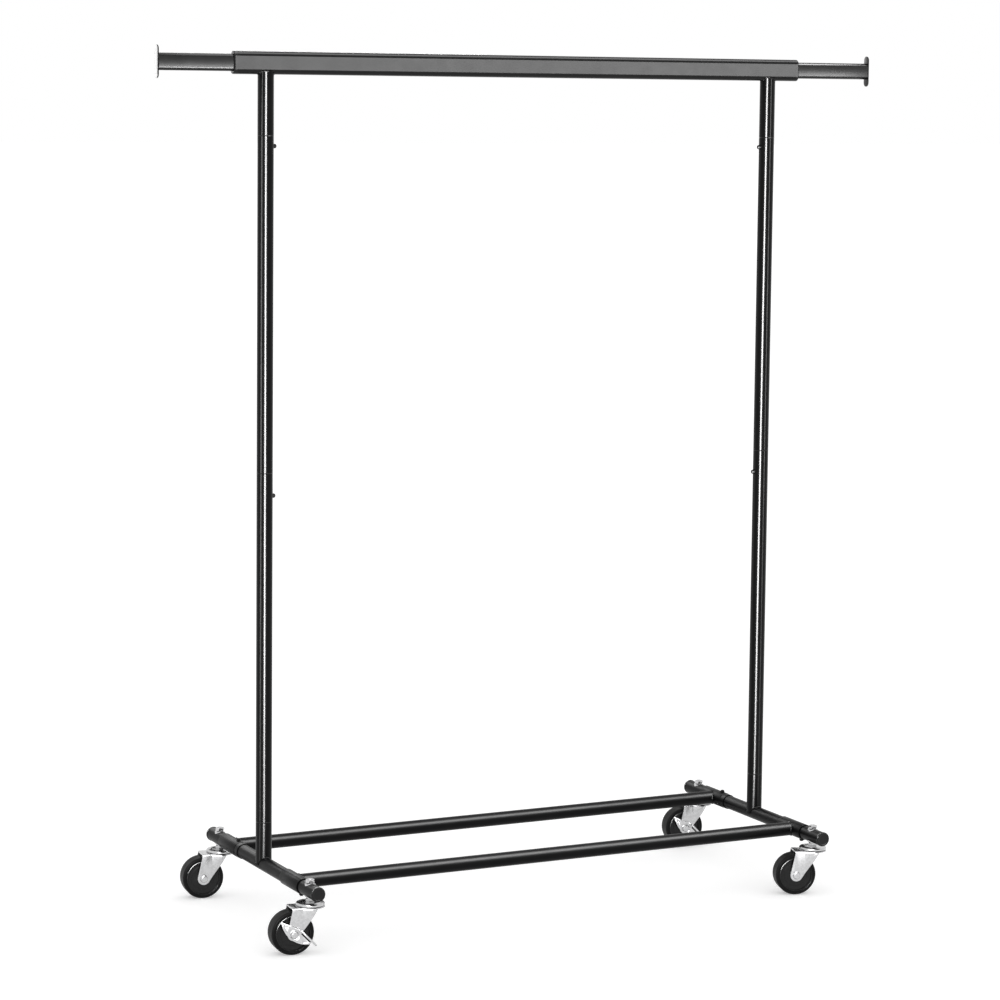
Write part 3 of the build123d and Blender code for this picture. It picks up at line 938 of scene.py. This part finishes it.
@dataclass(frozen=True)
class SeamShadowRing:
    """Thin dark ring in the groove where one tube is pushed into the next, painted shade that stands for the
    shadow in that groove.
    """

    radius: float = 14.38
    inner: float = 13.9
    height: float = 1.6
    bevel: float = 0.1

    def build(self) -> Object:
        """Model the ring about the third axis, centred on the seam.

        Returns:
            The ring, in object mode.
        """
        half, edge = self.height / 2, self.radius - self.bevel
        outline = [(self.inner, -half), (edge, -half), (self.radius, self.bevel - half)]
        outline += [(self.radius, half - self.bevel), (edge, half), (self.inner, half), (self.inner, -half)]
        return turned("seam", outline)


@dataclass(frozen=True)
class EndPlate:
    """Stadium plate with rounded edges on the end of an extension bar."""

    height: float = 57.0
    width: float = 15.0
    thickness: float = 2.0
    edge: float = 0.45

    def build(self) -> Object:
        """Model the plate lying on the first two axes, its length along the second.

        Returns:
            The plate, in object mode.
        """
        radius = self.width / 2
        straight = self.height / 2 - radius
        outline = arc((0, straight), radius, 0, 180, 20) + arc((0, -straight), radius, 180, 360, 20)
        plate = sheet("plate", outline, 0.0, self.thickness)
        soften(plate, self.edge, 4)
        return plate


@dataclass(frozen=True)
class ExtensionBar:
    """Flat oval bar with slightly crowned sides and rounded ends."""

    depth: float = 15.0
    height: float = 30.0
    corner: float = 6.5
    crown: float = 0.4

    def build(self, length: float) -> Object:
        """Model the bar along the third axis, its height along the second.

        Args:
            length: length of the bar.

        Returns:
            The bar, in object mode.
        """
        flat = self.height / 2 - self.corner
        ridge = self.depth / 2 - self.corner
        reach = self.corner - self.crown
        face = [(self.depth / 2 - self.crown * (step / 5) ** 2, flat * step / 5) for step in range(-4, 5)]
        turns = [radians(9 * step) for step in range(11)]
        bend = [(ridge + reach * cos(turn), flat + self.corner * sin(turn)) for turn in turns]
        half = face + bend + [(-x, y) for x, y in reversed(bend)]
        bar = sheet("bar", half + [(-x, -y) for x, y in half], 0.0, length)
        soften(bar, 0.4, 2, 50.0)
        return bar


@dataclass(frozen=True)
class BrakeLever:
    """Pressed brake leaf with a grooved border, a slit and a folded pedal with a rolled edge."""

    tilt: float = -39.4
    low: float = 19.8
    thickness: float = 2.0
    tip: float = 32.7
    rise: float = 3.0
    belly: float = 10.0
    end: float = 34.0
    crown: float = 13.5
    pedal_start: float = 3.0
    pedal_end: float = 43.0
    fall: float = 4.5
    pedal_width: float = 10.0
    ribs: int = 5
    roll: float = 1.8
    bore: float = 4.06

    def belly_line(self, inset: float) -> list[Point]:
        """Rounded lower edge of the leaf, from the tip to the pedal end.

        Args:
            inset: how far the edge is moved inward.

        Returns:
            Points of the edge.
        """
        sag = self.rise + self.belly
        half = (self.tip + self.end) / 2
        radius = (half**2 + sag**2) / (2 * sag)
        middle = (self.end - self.tip) / 2
        centre = self.rise - sag + radius
        reach = degrees(asin((half - 4.0 - 2 * inset) / radius))
        return arc((middle, centre), radius - inset, 270 - reach, 270 + reach, 24)

    def leaf(self) -> Object:
        """Model the leaf with its grooved border and its slit.

        Returns:
            The leaf, in object mode.
        """
        top, tip, rise = self.low + self.thickness, -self.tip, self.rise
        outline = self.belly_line(0.0) + [(self.end, rise), (self.end, self.crown - self.fall)]
        outline += [(self.pedal_start, self.crown), (-12.0, self.crown - 4.9)]
        outline += [(tip + 1.4, rise + 1.0), (tip + 0.2, rise + 0.2), (tip + 0.4, rise - 0.8)]
        leaf = sheet("leaf", outline, self.low, top)
        outside = [(27.0, 3.0), (8.0, 6.0), (4.0, 9.4), (-11.0, 6.1), (-24.0, 3.2)]
        groove = sheet("groove", self.belly_line(2.0) + outside, top - 1.0, top + 1.0)
        inside = [(25.5, 2.0), (8.6, 4.6), (3.4, 8.2), (-10.6, 4.9), (-21.0, 2.2)]
        island = sheet("island", self.belly_line(3.3) + inside, top - 2.0, top + 2.0)
        combine(groove, island, "DIFFERENCE")
        combine(leaf, groove, "DIFFERENCE")
        slit = [(9.0, 7.6), (32.0, 5.0), (32.0, 7.4), (9.0, 10.0)]
        combine(leaf, sheet("slit", slit, self.low - 5.0, top + 5.0), "DIFFERENCE")
        return leaf

    def pedal(self) -> Object:
        """Model the folded pedal strip with its rounded end, grip ribs and rolled edge.

        Returns:
            The pedal, in object mode.
        """
        run = self.pedal_end - self.pedal_start
        slope = -self.fall / run
        crown = self.crown - 0.05
        start = self.pedal_start + 0.15
        outline = [(start, crown)]
        for rib in range(self.ribs):
            x = self.pedal_start + run * (0.52 + 0.09 * rib)
            for step, rise in ((-1.0, -0.35), (0.0, 0.0), (1.0, -0.35)):
                outline.append((x + step, crown + slope * (x + step - self.pedal_start) + rise))
        high = crown - self.fall
        low = high - self.thickness
        outline += [(self.pedal_end - 0.6, high - 0.1), (self.pedal_end, high - 0.8)]
        outline += [(self.pedal_end, low + 0.7), (self.pedal_end - 0.7, low)]
        outline += [(start, crown - self.thickness)]
        strip = sheet("pedal", outline, self.low + 0.1, self.low + self.pedal_width)
        roll = sheet("roll", arc((0, 0), self.roll, 0, 350, 35), 0.0, run - 0.8)
        out = self.low + self.pedal_width - self.roll - 0.05
        origin = Vector((start + 0.2, crown - self.thickness / 2 - 0.3, out)) * MM
        there = Matrix.Translation(Vector((start, crown, 0)) * MM)
        back = Matrix.Translation(Vector((-start, -crown, 0)) * MM)
        lean = there @ Matrix.Rotation(slope, 4, "Z") @ back
        roll.matrix_world = lean @ placed(BACK, UP, ALONG, origin)
        bpy.context.view_layer.update()
        combine(strip, roll, "UNION")
        return strip

    def build(self) -> Object:
        """Model the lever in the frame of its axle.

        Returns:
            The lever, in object mode.
        """
        lever = self.leaf()
        combine(lever, self.pedal(), "UNION")
        top = self.low + self.thickness
        low, high = top - 0.9, top + 1.0
        ring = [(7.4, low), (8.6, low), (8.6, high), (7.4, high), (7.4, low)]
        combine(lever, turned("ring", ring), "DIFFERENCE")
        bore = [(0, 10), (self.bore, 10), (self.bore, 40), (0, 40)]
        combine(lever, turned("bore", bore), "DIFFERENCE")
        soften(lever, 0.3, 2, 28.0)
        pick(lever)
        lever.rotation_euler.z = radians(self.tilt)
        bpy.ops.object.transform_apply(location=True, rotation=True, scale=True)
        return lever


@dataclass(frozen=True)
class LeafSpring:
    """Leaf spring in a tube, folded back on itself behind a snap button."""

    bore: float
    thickness: float = 0.5
    width: float = 6.0
    length: float = 34.0
    pad: float = 5.0
    fold: float = 2.5
    collar: float = 5.0
    collar_thickness: float = 1.5
    clearance: float = 0.3
    gap: float = 0.05

    @property
    def front(self) -> float:
        """Distance from the axis of the tube to the face of the leaf behind the button."""
        return sqrt(self.bore**2 - self.collar**2) - self.clearance - self.collar_thickness - self.gap

    @property
    def back(self) -> float:
        """Distance from the axis of the tube to the middle of the far leaf."""
        return sqrt(self.bore**2 - (self.width / 2) ** 2) - self.clearance - self.thickness / 2

    def build(self) -> Object:
        """Model the spring, its first axis along the tube and its second along the button.

        Returns:
            The spring, in object mode.
        """
        pad, level = self.pad, self.front - self.thickness / 2
        places = (-pad, level), (pad, level), (self.length, 0), (-pad, -self.back)
        corners = [Vector(place) for place in places]
        folds = eased(*corners[:3], self.fold) + eased(*corners[1:], self.fold)
        line = [corners[0], *folds, corners[3]]
        spring = trace("spring", [Vector((*point, -self.width / 2)) for point in line], False)
        bpy.ops.mesh.extrude_region_move(TRANSFORM_OT_translate={"value": (0, 0, self.width * MM)})
        bpy.ops.mesh.select_all(action="SELECT")
        bpy.ops.mesh.subdivide(number_cuts=3)
        leave_edit()
        modifier = spring.modifiers.new("leaf", "SOLIDIFY")
        modifier.thickness = self.thickness * MM
        modifier.offset = 0.0
        modifier.use_even_offset = True
        bpy.ops.object.modifier_apply(modifier=modifier.name)
        soften(spring, 0.12, 1, 60.0)
        return spring


@dataclass(frozen=True)
class WeldBead:
    """Rippled weld bead around a tube, laid on the surface that the tube meets."""

    tube: float
    bead: float
    rise: Callable[[float, float], float]
    ripples: int = 44

    def build(self, name: str) -> Object:
        """Model the bead about the third axis, raised by the surface it lies on.

        Args:
            name: name of the new object.

        Returns:
            The bead, in object mode.
        """
        clear_selection()
        bpy.ops.mesh.primitive_torus_add(
            major_radius=self.tube * MM,
            minor_radius=self.bead * MM,
            major_segments=4 * self.ripples,
            minor_segments=12,
        )
        piece = bpy.context.object
        piece.name = name
        for vertex in piece.data.vertices:
            x, y = vertex.co.x / MM, vertex.co.y / MM
            around = hypot(x, y)
            turn = Vector((x, y)).angle_signed(Vector((1.0, 0.0)), 0.0)
            swell = 1.0 + 0.16 * sin(self.ripples * turn) + 0.1 * sin(5 * turn + 0.6)
            reach = self.tube + (around - self.tube) * swell
            lift = self.rise(x / around * self.tube, y / around * self.tube)
            height = vertex.co.z / MM * swell + lift
            vertex.co = Vector((x / around * reach, y / around * reach, height)) * MM
        return piece


UPRIGHT_RADIUS, UPRIGHT_BORE = 14.3, 11.8
TUBE_RADIUS, TUBE_BORE = 12.7, 11.2
SLEEVE_RADIUS = 14.5
RAIL_FLAT, RAIL_ROUND, RAIL_DROP = 1.5, 8.5, 5.5
TUBE_RIM = 0.55


def over_crossbar(x: float, _: float) -> float:
    """Height of a crossbar over its axis."""
    return sqrt(max(TUBE_RADIUS**2 - x**2, 0.0))


def over_sleeve(x: float, _: float) -> float:
    """Height of a sleeve over its axis."""
    return sqrt(SLEEVE_RADIUS**2 - x**2)


def under_rail(_: float, y: float) -> float:
    """Height of the rounded underside of the hanging rail, turned upside down."""
    aside = min(max(abs(y) - RAIL_FLAT, 0.0), RAIL_ROUND)
    return -min(RAIL_DROP, RAIL_ROUND - sqrt(RAIL_ROUND**2 - aside**2))


@dataclass(frozen=True)
class Rack:
    """The pieces of the rack that are modelled again over the CAD."""

    workshop: Workshop

    def casters(self) -> None:
        """Add wheels, forks, brake levers, raceway caps and stem nuts."""
        wheel = CasterWheel()
        core, tread, fork, lever = wheel.core(), wheel.tread(), Fork().build(), BrakeLever().build()
        hand_over = self.workshop.hand_over
        for corner in Corner:
            name = corner.value
            body = f"{name}_rolling_wheel"
            copy = copy_to(core, f"wheel_core_{name}", axle_frame(corner))
            hand_over(copy, Slot.PLASTIC, body, angle=wheel.smooth)
            copy = copy_to(tread, f"wheel_tread_{name}", axle_frame(corner))
            hand_over(copy, Slot.RUBBER, body, f"{name}_wheel", angle=wheel.smooth)
            copy = copy_to(fork, f"{name}_fork_folded", stem_frame(corner))
            hand_over(copy, Slot.ZINC, f"{name}_caster", f"{name}_fork")
        for corner in BRAKED:
            name = f"{corner.value}_brake_lever"
            copy = copy_to(lever, f"{name}_pressed", axle_frame(corner))
            hand_over(copy, Slot.ZINC, f"{corner.value}_brake", name)
        for model, name in ((RacewayCap(), "raceway_caps"), (StemNut(), "stem_nuts")):
            piece = model.build()
            copies = [copy_to(piece, f"{name}_{corner.value}", stem_frame(corner)) for corner in Corner]
            hand_over(join(f"{name}_formed", copies), Slot.ZINC, "frame", name)
            discard(piece)
        discard(core, tread, fork, lever)

    def tubes(self) -> None:
        """Add the tubes of the uprights and the sleeves with rounded rims, so that their seams show."""
        for side in SIDES:
            for part in ("rail_stub", "upper_upright", "lower_upright", "base_stub"):
                self.rounded(f"{side}_{part}", Slot.UPRIGHT)
        for corner in Corner:
            self.rounded(f"{corner.value}_sleeve", Slot.BASE)

    def rounded(self, name: str, slot: Slot) -> None:
        """Put a copy of a tube with rounded edges over a node of the frame.

        Args:
            name: name of the node.
            slot: slot of its finish.
        """
        source = frame["nodes"][name]
        copy = bpy.data.objects.new(f"{name}_rounded", source.data.copy())
        bpy.context.scene.collection.objects.link(copy)
        settle(copy, source.matrix_world)
        enter_edit()
        bpy.ops.mesh.remove_doubles(threshold=MERGE)
        bpy.ops.mesh.tris_convert_to_quads()
        leave_edit()
        bpy.ops.mesh.customdata_custom_splitnormals_clear()
        soften(copy, TUBE_RIM, 3, 50.0)
        self.workshop.hand_over(copy, slot, "frame", name)

    def seams(self) -> None:
        """Add the dark rings at the seams of the uprights, painted shade for the shadow in their grooves."""
        ring = SeamShadowRing().build()
        copies = []
        for side in SIDES:
            upper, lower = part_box(f"{side}_upper_upright"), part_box(f"{side}_lower_upright")
            middle = (Vector(lower[0]) + Vector(lower[1])) / 2
            for height in (upper[1][2], lower[1][2], lower[0][2]):
                place = Matrix.Translation((middle.x, middle.y, height))
                copies.append(copy_to(ring, "seam_shadow_ring", place))
        # painted shade: the dark rings stand for the shadow in the seam grooves
        self.workshop.hand_over(join("upright_seam_shadow_rings", copies), Slot.PLASTIC, "frame")
        discard(ring)

    def caps(self) -> None:
        """Add the plastic caps of the crossbars."""
        cap = EndCap().build()
        copies = []
        for side in SIDES:
            low, high = map(Vector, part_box(f"{side}_crossbar"))
            middle = (low + high) / 2
            for end, turn in ((low.y, 90), (high.y, -90)):
                place = Matrix.Translation((middle.x, end, middle.z))
                place = place @ Matrix.Rotation(radians(turn), 4, "X")
                copies.append(copy_to(cap, f"cap_{side}_{turn}", place))
        caps = join("crossbar_caps_moulded", copies)
        self.workshop.hand_over(caps, Slot.PLASTIC, "frame", "crossbar_end_caps")
        discard(cap)

    def bars(self) -> None:
        """Add the extension bars."""
        for side in SIDES:
            name = f"{side}_extension_bar"
            low, high = map(Vector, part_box(name))
            bar = ExtensionBar().build((high.x - low.x) / MM)
            origin = (low.x, (low.y + high.y) / 2, (low.z + high.z) / 2)
            copy = copy_to(bar, f"{name}_crowned", placed(BACK, UP, ALONG, origin))
            self.workshop.hand_over(copy, Slot.BAR, f"{side}_extension", name)
            discard(bar)

    def end_plates(self) -> None:
        """Add the end plates of the extension bars."""
        plate = EndPlate().build()
        for side, out in SIDES.items():
            name = f"{side}_end_plate"
            low, high = map(Vector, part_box(name))
            middle = (low + high) / 2
            inner = high.x if out < 0 else low.x
            place = placed(BACK * out, UP, ALONG * out, (inner, middle.y, middle.z))
            copy = copy_to(plate, f"{name}_rounded", place)
            self.workshop.hand_over(copy, Slot.BAR, f"{side}_extension", name)
        discard(plate)

    def springs(self) -> None:
        """Add the leaf springs behind the snap buttons."""
        upright, crossbar = LeafSpring(UPRIGHT_BORE), LeafSpring(TUBE_BORE)
        for joint in frame["joints"]:
            if not joint["name"].endswith("_button_press"):
                continue
            node = joint["name"].removesuffix("_press")
            out = Vector(joint["axis"])
            low, high = map(Vector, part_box(node))
            middle = (low + high) / 2
            model = crossbar if out.z else upright
            along = BACK * copysign(1.0, -middle.y) if out.z else UP
            axis = middle - out * (abs((high - low).dot(out)) / 2 + (model.front + model.gap) * MM)
            spring = model.build()
            copy = copy_to(spring, f"{node}_spring", placed(along, out, along.cross(out), axis))
            self.workshop.dress(copy, Slot.SPRING)
            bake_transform(copy)
            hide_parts("snap_springs")
            discard(spring)
            faces = len(copy.data.polygons)
            log.info("%s: %d faces between frame and %s", copy.name, faces, joint["child"])

    def welds(self) -> None:
        """Add the weld beads where tubes meet tubes."""
        stub = WeldBead(UPRIGHT_RADIUS, 1.2, over_crossbar)
        sleeve = WeldBead(TUBE_RADIUS, 1.2, over_sleeve)
        rail = WeldBead(UPRIGHT_RADIUS, 1.0, under_rail)
        rail_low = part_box("hang_rail")[0][2]
        for side, out in SIDES.items():
            low, high = map(Vector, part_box(f"{side}_crossbar"))
            axis = (low + high) / 2
            self.weld(stub.build(f"{side}_stub_weld"), Matrix.Translation(axis), Slot.BASE)
            place = Matrix.Translation((axis.x, axis.y, rail_low)) @ Matrix.Rotation(pi, 4, "X")
            self.weld(rail.build(f"{side}_rail_weld"), place, Slot.UPRIGHT)
            for row in ("front", "back"):
                front, back = map(Vector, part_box(f"{row}_base_rail"))
                origin = (axis.x, (front.y + back.y) / 2, axis.z)
                place = placed(UP * -out, BACK, ALONG * -out, origin)
                self.weld(sleeve.build(f"{row}_{side}_sleeve_weld"), place, Slot.BASE)

    def weld(self, bead: Object, place: Matrix, slot: Slot) -> None:
        """Put a weld bead in place on the frame.

        Args:
            bead: the bead.
            place: where its own frame goes.
            slot: slot of its finish.
        """
        settle(bead, place)
        enter_edit()
        leave_edit()
        self.workshop.hand_over(bead, slot, "frame", angle=60.0)

    def build(self) -> None:
        """Add every piece."""
        self.casters()
        self.tubes()
        self.seams()
        self.caps()
        self.bars()
        self.end_plates()
        self.springs()
        self.welds()


# Studio

@dataclass(frozen=True)
class Lamp:
    """Soft rectangular lamp, seen in the gloss of some finishes, its brightness given as radiance."""

    name: str
    place: Place
    target: Place
    width: float
    height: float
    radiance: float
    slots: tuple[Slot, ...]
    names: tuple[str, ...] = ("",)

    def build(self, workshop: Workshop) -> None:
        """Add the lamp and link it to the pieces that it is meant for.

        Args:
            workshop: holds the pieces of each slot.
        """
        light = bpy.data.lights.new(self.name, "AREA")
        light.shape = "RECTANGLE"
        light.size = self.width
        light.size_y = self.height
        light.energy = self.radiance * pi * self.width * self.height
        lamp = bpy.data.objects.new(self.name, light)
        bpy.context.scene.collection.objects.link(lamp)
        lamp.location = self.place
        ahead = Vector(self.target) - Vector(self.place)
        lamp.rotation_euler = ahead.to_track_quat("-Z", "Y").to_euler()
        lamp.visible_camera = False
        lamp.visible_diffuse = False
        lit = bpy.data.collections.new(f"{self.name}_lights")
        for slot in self.slots:
            for piece in workshop.members[slot]:
                if piece.name.startswith(self.names):
                    lit.objects.link(piece)
        lamp.light_linking.receiver_collection = lit


TUBES = (Slot.UPRIGHT, Slot.BUTTON)
RAILS = (Slot.RAIL, Slot.PLASTIC)
BARS = (Slot.BAR,)
BASES = (Slot.BASE,)
METALS = (Slot.ZINC, Slot.BALL)
PLASTICS = (Slot.PLASTIC,)
LEFT, RIGHT = ("left",), ("right",)
LEFT_BAR, RIGHT_BAR = ("left_extension_bar",), ("right_extension_bar",)
LIT_METALS = ("front_right_fork", "front_left_brake", "back_right_brake")
RIGHT_WELDS = ("front_right_sleeve_weld", "back_right_sleeve_weld")
BEHIND = ((0.0, 3.0, 1.9), (0.0, 0.0, 1.52), 2.8, 0.8)
BESIDE = ((-2.4, -1.2, 1.6), (0.0, 0.0, 0.05), 0.7, 1.2)

# Place, target, width, height and radiance, then the slots and names of the pieces that are lit
LAMPS = (
    Lamp("left_front_strip", (-0.808, -0.954, 0.89), (-0.507, 0.0, 0.89), 0.27, 1.74, 220.0, TUBES, LEFT),
    Lamp("right_front_strip", (-0.075, -0.813, 0.89), (0.507, 0.0, 0.89), 0.27, 1.74, 220.0, TUBES, RIGHT),
    Lamp("left_side_strip", (-2.65, -0.5, 1.0), (-0.507, 0.0, 1.0), 0.6, 2.0, 26.0, TUBES, LEFT),
    Lamp("right_side_strip", (1.9, -2.5, 1.0), (0.507, 0.0, 1.0), 0.6, 2.0, 25.0, TUBES, RIGHT),
    Lamp("rail_box", (1.55, -3.0, 1.52), (0.3, 0.0, 1.52), 2.7, 0.6, 13.0, RAILS),
    Lamp("rail_top", (0.0, -0.4, 2.7), (0.0, -0.4, 0.0), 2.8, 0.9, 7.0, RAILS),
    Lamp("rail_back", *BEHIND, 10.0, RAILS),
    Lamp("bar_back", *BEHIND, 10.0, BARS, LEFT_BAR + RIGHT_BAR),
    Lamp("left_bar_box", (-0.2, -1.2, 1.1), (-0.2, 0.0, 1.1), 1.6, 0.26, 75.0, BARS, LEFT_BAR),
    Lamp("right_bar_box", (1.4, -1.2, 1.17), (1.4, 0.0, 1.17), 1.6, 0.44, 27.0, BARS, RIGHT_BAR),
    Lamp("left_bar_top", (-0.1, -0.6, 2.93), (-0.1, -0.6, 0.0), 1.0, 2.0, 6.0, BARS, LEFT_BAR),
    Lamp("right_bar_top", (1.7, -0.9, 2.93), (1.7, -0.9, 0.0), 1.0, 1.4, 36.0, BARS, RIGHT_BAR),
    Lamp("plate_card", (-2.1, 3.8, 1.5), (-0.7, 0.0, 1.5), 1.4, 1.4, 10.0, BARS, ("left_end_plate",)),
    Lamp("plate_back", *BEHIND, 4.0, BARS, ("right_end_plate",)),
    Lamp("base_top", (1.3, -1.5, 2.7), (1.3, -1.5, 0.0), 3.2, 2.0, 55.0, BASES),
    Lamp("crossbar_back", (-0.3, 3.0, 1.8), (0.0, 0.0, 0.1), 2.0, 0.8, 6.0, BASES),
    Lamp("weld_side", *BESIDE, 900.0, BASES, RIGHT_WELDS),
    Lamp("caster_top", (-0.8, -1.6, 2.4), (0.0, 0.0, 0.0), 2.6, 1.5, 5.0, METALS),
    Lamp("caster_side", (-1.66, -2.41, 0.45), (-0.2, 0.0, 0.06), 1.2, 0.8, 6.0, METALS),
    Lamp("caster_front", (-0.55, -8.2, 0.55), (0.0, 0.0, 0.06), 1.7, 1.0, 34.0, METALS, LIT_METALS),
    Lamp("tread_side", *BESIDE, 26.0, (Slot.RUBBER,)),
    Lamp("core_side", (-2.2, -1.2, 1.9), (0.0, 0.0, 0.05), 2.2, 2.8, 110.0, PLASTICS, ("wheel_core",)),
    Lamp("cap_side", *BESIDE, 90.0, PLASTICS, ("crossbar_caps",)),
)


@dataclass(frozen=True)
class PhotoCamera:
    """Camera of the photograph, with its angles in degrees and its place in metres."""

    azimuth: float = 26.33583
    pitch: float = 5.82715
    roll: float = 0.59269
    lens: float = 115.0412
    sensor: float = 36.0
    shift: float = -0.08
    far: float = 300.0
    place: Place = (-2.6136499, -5.18669081, 1.47561605)

    def build(self) -> None:
        """Put the camera where the photograph was taken from."""
        azimuth, pitch, roll = radians(self.azimuth), radians(self.pitch), radians(self.roll)
        ahead = Vector((sin(azimuth) * cos(pitch), cos(azimuth) * cos(pitch), -sin(pitch)))
        level = Vector((cos(azimuth), -sin(azimuth), 0.0))
        above = level.cross(ahead)
        right = level * cos(roll) + above * sin(roll)
        top = above * cos(roll) - level * sin(roll)
        data = bpy.data.cameras.new("photo_camera")
        data.sensor_width = self.sensor
        data.lens = self.lens
        data.shift_y = self.shift
        data.clip_end = self.far
        camera = bpy.data.objects.new("photo_camera", data)
        bpy.context.scene.collection.objects.link(camera)
        camera.matrix_world = placed(right, top, -ahead, self.place)
        bpy.context.scene.camera = camera


@dataclass(frozen=True)
class Studio:
    """White floor, even light, lamps and the camera of the photograph."""

    workshop: Workshop
    floor_size: float = 160.0
    floor_grey: tuple[float, ...] = (0.85, 0.85, 0.85, 1.0)
    floor_lift: float = 0.36
    white: tuple[float, ...] = (1.0, 1.0, 1.0, 1.0)
    soft_light: float = 0.9

    def floor(self) -> None:
        """Add the pale floor, which shows white to the camera and keeps the shadow."""
        clear_selection()
        bpy.ops.mesh.primitive_plane_add(size=self.floor_size)
        floor = bpy.context.object
        floor.name = "floor"
        material = bpy.data.materials.new("floor_white")
        material.use_nodes = True
        material.node_tree.nodes.clear()
        graph = Graph(material.node_tree)
        lift = graph.reckon("MULTIPLY", graph.seen(), self.floor_lift)
        glow = graph.add("ShaderNodeEmission", {"Strength": lift}).outputs["Emission"]
        paper = graph.add("ShaderNodeBsdfDiffuse", {"Color": self.floor_grey}).outputs["BSDF"]
        both = graph.add("ShaderNodeAddShader", {0: paper, 1: glow}).outputs["Shader"]
        graph.add("ShaderNodeOutputMaterial", {"Surface": both})
        floor.data.materials.append(material)

    def world(self) -> None:
        """Make the surroundings white to the camera and an even soft light to the rest."""
        world = bpy.data.worlds.new("white_room")
        world.use_nodes = True
        bpy.context.scene.world = world
        world.node_tree.nodes.clear()
        graph = Graph(world.node_tree)
        inputs: dict[Union[str, int], Value] = {"Fac": graph.seen()}
        for place, strength in enumerate((self.soft_light, 1.0), 1):
            room = graph.add("ShaderNodeBackground", {"Color": self.white, "Strength": strength})
            inputs[place] = room.outputs["Background"]
        mix = graph.add("ShaderNodeMixShader", inputs)
        graph.add("ShaderNodeOutputWorld", {"Surface": mix.outputs["Shader"]})

    def build(self) -> None:
        """Set up the studio."""
        bpy.context.scene.view_settings.view_transform = "Standard"
        self.floor()
        self.world()
        for lamp in LAMPS:
            lamp.build(self.workshop)
        PhotoCamera().build()


def main() -> None:
    """Dress the CAD, add the pieces and set up the studio."""
    workshop = Workshop()
    workshop.dress_cad()
    Rack(workshop).build()
    Studio(workshop).build()


if __name__ == "__main__":
    main()
